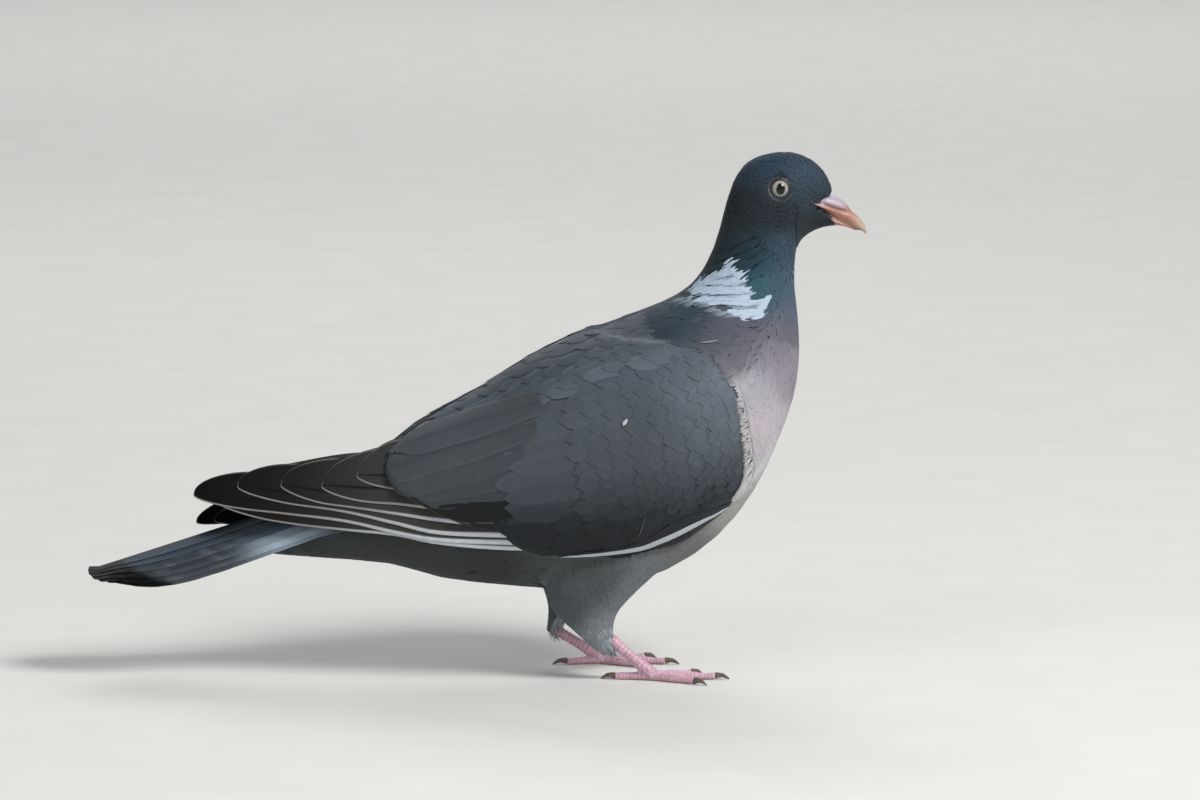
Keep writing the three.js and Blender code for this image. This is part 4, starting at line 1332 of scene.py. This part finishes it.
class PIGEON_OT_tail(bpy.types.Operator):
    """Builds the tail's twelve feathers"""
    bl_idname = "pigeon.tail"
    bl_label = "Tail"

    def execute(self, context):
        vane = feather_material("Tail feather, firm keratin", 0.6, 0.0, 0.6, 0.1)
        low, high = box_of("tail")
        form = Section(["tail", "rump"], low.x + 1.5 * MM, high.x - 1 * MM)
        coat = Coat(41, own=0.05)
        webs = [rgb(code) for code in TAIL_WEBS]
        pales = [rgb(code) for code in TAIL_PALES]
        end, line = rgb("#030304"), rgb("#808a93")
        length = high.x - low.x
        for k in range(5, -1, -1):
            for side in (-1, 1):
                tip_x = low.x + length * TAIL_TIPS[k]
                root_x = high.x - 4 * MM
                run = root_x - tip_x
                grid, leans, tints = [], [], []
                for u in tip_shares(40):
                    x = root_x - run * u
                    reach = form.reach(x)
                    to_tip = (x - tip_x) / (3.0 * MM)
                    middle = reach * TAIL_MIDDLES[k]
                    wide = reach * 0.56 * (0.7 + 0.3 * min(1, u * 1.4)) * math.sqrt(
                        max(0.002, 1 - max(0.0, 1 - to_tip) ** 2.2))
                    points, norms, shades = [], [], []
                    for f in (-.5, -.46, -.3, -.1, -.03, .03, .1, .3, .46, .47, .5):
                        place, lean = form.at(x, middle + wide * f, side)
                        points.append(place - lean * ((0.22 * k + 0.1 + 0.06 * f * f) * MM))
                        norms.append(lean)
                        pale = ramp(1 - abs(u - 0.26) / 0.26, 0.0, 0.8)
                        body = mix(webs[k], pales[k], pale)
                        # pale streaks along the middle feathers: painted highlight
                        highlight_streak = ramp(noise.noise(Vector((x * 260, f * 34, k))), 0.0, 0.5)
                        highlight_streak *= ramp(0.22 - abs(u - 0.6), 0, .1)
                        body = mix(body, line, 0.2 * highlight_streak * (1 < k < 5))
                        if f > 0.4:
                            body = mix(body, line, 0.1)
                        if abs(f) < 0.05:
                            body = [c * 0.6 for c in body]
                        along, up = (x - low.x) / length, (place.z - low.z) / (high.z - low.z)
                        band = profile(TAIL_BAND, along / 0.5)
                        black = max(1 - ramp(along, 0.02, 0.06), 1 - ramp(up, band, band + 0.04))
                        shades.append(mix(body, end, black))
                    grid.append(points)
                    leans.append(norms)
                    tints.append(shades)
                coat.add(grid, leans, tints, run / MM, 25, (0.02 + 0.1 * k, 0.5 + 0.2 * (side > 0)),
                         0.3 * MM, 0.02)
        piece = coat.build("tail_feathers", vane, "tail_feather")
        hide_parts("tail")
        return {"FINISHED"}


def bill_colour(x, z, seam, slit):
    """The bill's colour at shares of its length and height and distances from its two lines."""
    gape_z = gape_height(x)
    orange, pink, lilac = rgb("#94593f"), rgb("#a37262"), rgb("#ab9da9")
    tan, brown, mouth_shade = rgb("#b39c8a"), rgb("#4d332f"), rgb("#2a2526")
    body = mix(mix(orange, pink, ramp(x + 0.3 * z, 0.45, 0.8)), tan, ramp(x, 0.66, 0.97))
    cere = ramp(z, 0.70 - 0.12 * ramp(x, 0.3, 0.6), 0.82) * (1 - ramp(x, 0.62, 0.76))
    body = mix(body, mix(pink, lilac, ramp(x, 0.1, 0.3)), cere)
    # below the gape near the base: the mouth's corner, dark with painted shade
    if z < gape_z:
        body = mix(mouth_shade, mix(pink, tan, ramp(x, .7, .95)), ramp(x + 0.35 * (z - gape_z), 0.34, 0.46))
    body = mix(body, rgb("#7c3f2a"), 0.75 * max(0.0, 1 - slit / (0.7 * MM)))
    # the line where the mandibles meet, darkened with painted shade
    return mix(body, brown, 0.85 * max(0.0, 1 - seam / (0.45 * MM)) * (1 - 0.6 * ramp(x, 0.5, 0.9)))


def swollen(names, by, voxel):
    """A closed mesh round CAD nodes with the narrow gaps between them filled, at its true size."""
    joined = bmesh.new()
    for name in names:
        joined.from_mesh(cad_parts[name].data)
    count = len(joined.verts)
    joined.from_mesh(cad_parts["bill_lower"].data)      # again, raised to fill the mouth
    joined.verts.ensure_lookup_table()
    for vertex in joined.verts[count:]:
        vertex.co = (vertex.co.x, vertex.co.y * 0.9, vertex.co.z + 1.3 * MM)
    bmesh.ops.remove_doubles(joined, verts=joined.verts, dist=0.01 * MM)
    joined.normal_update()
    for vertex in joined.verts:
        vertex.co += vertex.normal * by
    mesh = bpy.data.meshes.new("swollen")
    joined.to_mesh(mesh)
    joined.free()
    result = evened(mesh, voxel, 10)
    for vertex, lean in zip(result.vertices, [n.vector.copy() for n in result.vertex_normals]):
        vertex.co -= lean * (by * 0.92)
    return result


class PIGEON_OT_eyes(bpy.types.Operator):
    """Builds the eyes"""
    bl_idname = "pigeon.eyes"
    bl_label = "Eyes"

    def execute(self, context):
        colours = context.scene.pigeon_colours
        # a black pupil in a pale, finely rayed iris under a clear wet gloss
        material, tree = blank_material("Eye, wet cornea over a pale iris")
        ring = add(tree, "ShaderNodeAttribute", {"attribute_name": "Ring"})
        place = add(tree, "ShaderNodeTexCoord")
        rays = add(tree, "ShaderNodeTexNoise", {"Scale": 2500.0, "Detail": 2.0},
                   Vector=place.outputs["Object"])
        soft = add(tree, "ShaderNodeMath", {"operation": "MULTIPLY_ADD", 1: 0.05}, _0=rays.outputs[0],
                   _2=ring.outputs["Fac"])
        bands = add(tree, "ShaderNodeValToRGB", None, Fac=soft.outputs[0])
        stops = [(0.0, "#040404"), (0.53, "#050505"), (0.57, "#66665d"), (0.68, None), (0.88, "#8a897f"),
                 (0.96, "#201f1e")]               # None: the iris's own colour
        elements = bands.color_ramp.elements
        while len(elements) < len(stops):
            elements.new(0.5)
        for element, (position, code) in zip(elements, stops):
            element.position, element.color = position, linear(code) if code else tuple(colours.iris)
        close(tree, add(tree, "ShaderNodeBsdfPrincipled",
                        {"Roughness": 0.5, "IOR": 1.376, "Specular IOR Level": 0.1, "Coat Weight": 1.0,
                         "Coat IOR": 1.376, "Coat Roughness": 0.02},
                        Base_Color=bands.outputs[0]))
        for side in SIDES:
            centre, radius, axis, first, second = eye_frame(side)
            verts, faces, rings = [centre + axis * radius * 1.06], [], [0.0]
            steps, around = 28, 48
            for i in range(1, steps + 1):
                a = math.pi * i / steps
                bulge = 1 + 0.06 * max(0.0, math.cos(a)) ** 8
                for j in range(around):
                    b = 2 * math.pi * j / around
                    verts.append(centre + axis * math.cos(a) * radius * bulge
                                 + (first * math.cos(b) + second * math.sin(b)) * math.sin(a) * radius)
                    flat = math.sin(a) * radius / (4.1 * MM)
                    oval = flat * math.hypot(math.cos(b) / 0.88, math.sin(b) / 1.16)
                    rings.append(min(1.0, oval + (flat - oval) * ramp(flat, 0.6, 0.9)) if a < 1.57 else 1.0)
            for j in range(around):
                faces.append([0, 1 + j, 1 + (j + 1) % around])
            for i in range(steps - 1):
                for j in range(around):
                    a, b = 1 + i * around + j, 1 + i * around + (j + 1) % around
                    faces.append([a, a + around, b + around, b])
            mesh = bpy.data.meshes.new("eye_" + side)
            mesh.from_pydata(verts, [], faces)
            mesh.attributes.new("Ring", "FLOAT", "POINT").data.foreach_set("value", rings)
            bm = bmesh.new()
            bm.from_mesh(mesh)
            bmesh.ops.remove_doubles(bm, verts=bm.verts, dist=1e-6)
            bmesh.ops.recalc_face_normals(bm, faces=bm.faces)
            bm.to_mesh(mesh)
            bm.free()
            piece = show("eyeball_" + side, mesh, material, "eye")
            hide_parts("eye_" + side)
        return {"FINISHED"}


class PIGEON_OT_bill(bpy.types.Operator):
    """Finishes the bill, cere and claws"""
    bl_idname = "pigeon.bill"
    bl_label = "Bill and claws"

    def execute(self, context):
        bill = swollen(["bill_upper", "bill_lower", "cere"], 0.75 * MM, 0.28 * MM)
        low, high = box_of("bill_upper")
        span = Vector((high.x - low.x, 0, box_of("cere")[1].z - low.z))
        shades = []
        for vertex in bill.vertices:
            place = vertex.co
            seam = line_gap(GAPE, place, low, span)
            slit = line_gap(NOSTRIL, place, low, span)
            x, z = (place.x - low.x) / span.x, (place.z - low.z) / span.z
            if abs(place.y) > 1.2 * MM:
                groove = 0.35 * max(0.0, 1 - seam / (0.5 * MM)) + 0.3 * max(0.0, 1 - slit / (0.5 * MM))
                vertex.co.y -= math.copysign(groove * MM, place.y)
            under = gape_height(x) - z          # the base of the lower mandible is narrow, its front full
            base = ramp(under, 0.0, 0.1) * (1 - ramp(x, 0.3, 0.5))
            vertex.co.z += 0.9 * MM * base
            vertex.co.y *= 1 - 0.16 * base
            vertex.co.z += 1.3 * MM * ramp(under, 0.0, 0.12) * ramp(x, 0.42, 0.75)
            shades.append(bill_colour(x, z, seam, slit))
        painted(bill, shades, "POINT")
        # dull horn, a little translucent, with a fine powdery grain
        material, tree = blank_material("Bill, worn horn with a powdery cere")
        colour = add(tree, "ShaderNodeAttribute", {"attribute_name": "Plumage"})
        place = add(tree, "ShaderNodeTexCoord")
        grain = add(tree, "ShaderNodeTexNoise", {"Scale": 1400.0, "Detail": 3.0},
                    Vector=place.outputs["Object"])
        spread = add(tree, "ShaderNodeMapRange",
                     {"From Min": 0.3, "From Max": 0.7, "To Min": 0.92, "To Max": 1.08},
                     Value=grain.outputs[0])
        tone = add(tree, "ShaderNodeVectorMath", {"operation": "SCALE"}, _0=colour.outputs["Color"],
                   Scale=spread.outputs[0])
        relief = add(tree, "ShaderNodeBump", {"Strength": 0.2, "Distance": 0.0001}, Height=grain.outputs[0])
        close(tree, add(tree, "ShaderNodeBsdfPrincipled",
                        {"Roughness": 0.45, "IOR": 1.54, "Subsurface Weight": 0.1,
                         "Subsurface Scale": 0.0008},
                        Base_Color=tone.outputs[0], Normal=relief.outputs[0]))
        piece = show("bill", bill, material, "bill")
        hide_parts("bill_upper", "bill_lower", "cere")
        chin = Form(remeshed(["head", "bill_lower"], 0.7 * MM, 4))

        def below(place, normal):
            x, z = (place.x - low.x) / span.x, (place.z - low.z) / span.z
            gape = gape_height(x)
            return "chin" if -0.1 < x < 0.5 and z < gape - 0.01 - 0.5 * max(0, x - 0.3) else None

        coat = Coat(51)
        for place, _, _ in scatter(chin, below, {"chin": 0.62 * MM}, 52):
            base = plumage_colour_and_shade(place)
            lay(coat, chin, place, Vector((-0.9, 0, -0.35)), coat.random.uniform(2.6, 3.6) * MM, 1.2 * MM,
                0.25 * MM, shaded(base, jitter=coat.random.uniform(.95, 1.05)), 4, 3, lift=0.3, slope=0.12,
                rag=0.05, thick=0.05, edge_tuck=0.03)
        coat.build("coat_chin", bpy.data.materials["Contour feather, soft keratin barbs"], "head_plumage")
        claw = noise_material("Claw, dark horn", "#4a4038", "#6d6055", 0.0012, 0.4, 0.15)
        for name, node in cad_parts.items():
            if name.startswith("claw"):
                node.data.materials.clear()
                node.data.materials.append(claw)
        return {"FINISHED"}


FLOOR_HALF = 6.0                                # metres
CAMERA_DISTANCE = 3.0                           # metres
CAMERA_RISE = 7                                 # degrees above the level
# name, place and size in metres, and power in watts; the wash lights the floor behind the bird
LIGHTS = [("key", (1.5, -1.2, 1.9), 1.1, 62), ("fill", (-1.4, -1.9, 1.2), 1.6, 12),
          ("back", (-0.3, 1.8, 1.6), 1.4, 7), ("wash", (0.2, 4.2, 3.2), 3.0, 75)]


class PIGEON_OT_stage(bpy.types.Operator):
    """Sets the floor, soft lights and camera"""
    bl_idname = "pigeon.stage"
    bl_label = "Stage"

    def execute(self, context):
        scene = context.scene
        mesh = bpy.data.meshes.new("floor")
        far = FLOOR_HALF
        mesh.from_pydata([(-far, -far, 0), (far, -far, 0), (far, far, 0), (-far, far, 0)], [], [(0, 1, 2, 3)])
        floor = bpy.data.objects.new("floor", mesh)
        scene.collection.objects.link(floor)
        mesh.materials.append(noise_material("Floor, matt pale paint", "#d6d5d2", "#dad9d6", 0.05, 0.8, 0.02))
        middle = Vector((LOW.x + SIZE.x * 0.659, 0, LOW.z + SIZE.z * 0.5246))
        for name, place, size, power in LIGHTS:
            light = bpy.data.lights.new(name, "AREA")
            light.shape, light.size, light.energy = "DISK", size, power
            lamp = bpy.data.objects.new(name, light)
            lamp.location = place
            aim = Vector((0.2, 4.4, 0)) if name == "wash" else middle
            lamp.rotation_euler = (aim - Vector(place)).to_track_quat("-Z", "Y").to_euler()
            scene.collection.objects.link(lamp)
        world = bpy.data.worlds.new("studio")
        world.use_nodes = True
        world.node_tree.nodes["Background"].inputs[0].default_value = linear("#eceeef")
        world.node_tree.nodes["Background"].inputs[1].default_value = 0.36
        scene.world = world
        scene.view_settings.view_transform = "Standard"
        camera = bpy.data.objects.new("camera", bpy.data.cameras.new("camera"))
        camera.data.lens, camera.data.sensor_width = scene.pigeon_sizes.lens, 36
        camera.data.clip_start, camera.data.clip_end = 0.05, 30
        rise = math.radians(CAMERA_RISE)
        camera.location = middle + Vector((0, -math.cos(rise), math.sin(rise))) * CAMERA_DISTANCE
        camera.rotation_euler = (middle - camera.location).to_track_quat("-Z", "Y").to_euler()
        scene.collection.objects.link(camera)
        scene.camera = camera
        return {"FINISHED"}


OPERATORS = (PIGEON_OT_skin, PIGEON_OT_coat, PIGEON_OT_wings, PIGEON_OT_quills, PIGEON_OT_tail,
             PIGEON_OT_eyes, PIGEON_OT_bill, PIGEON_OT_stage)


class PIGEON_PT_panel(bpy.types.Panel):
    """Lists the model's sizes, colours and pieces"""
    bl_idname = "PIGEON_PT_panel"
    bl_label = "Wood Pigeon"
    bl_space_type = "VIEW_3D"
    bl_region_type = "UI"
    bl_category = "Pigeon"

    def draw(self, context):
        for group in (context.scene.pigeon_sizes, context.scene.pigeon_colours):
            for name in group.bl_rna.properties.keys():
                if name not in ("name", "rna_type"):
                    self.layout.prop(group, name)
        for operator in OPERATORS:
            self.layout.operator(operator.bl_idname)


CLASSES = (PigeonSizes, PigeonColours) + OPERATORS + (PIGEON_PT_panel,)


def register():
    """Adds the add-on's classes and settings."""
    for item in CLASSES:
        bpy.utils.register_class(item)
    bpy.types.Scene.pigeon_sizes = PointerProperty(type=PigeonSizes)
    bpy.types.Scene.pigeon_colours = PointerProperty(type=PigeonColours)


def unregister():
    """Takes them away again."""
    del bpy.types.Scene.pigeon_sizes, bpy.types.Scene.pigeon_colours
    for item in reversed(CLASSES):
        bpy.utils.unregister_class(item)


def main():
    """Builds the model in the scene."""
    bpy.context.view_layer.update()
    register()
    for operator in OPERATORS:
        group, name = operator.bl_idname.split(".")
        getattr(getattr(bpy.ops, group), name)()


if __name__ == "__main__":
    main()
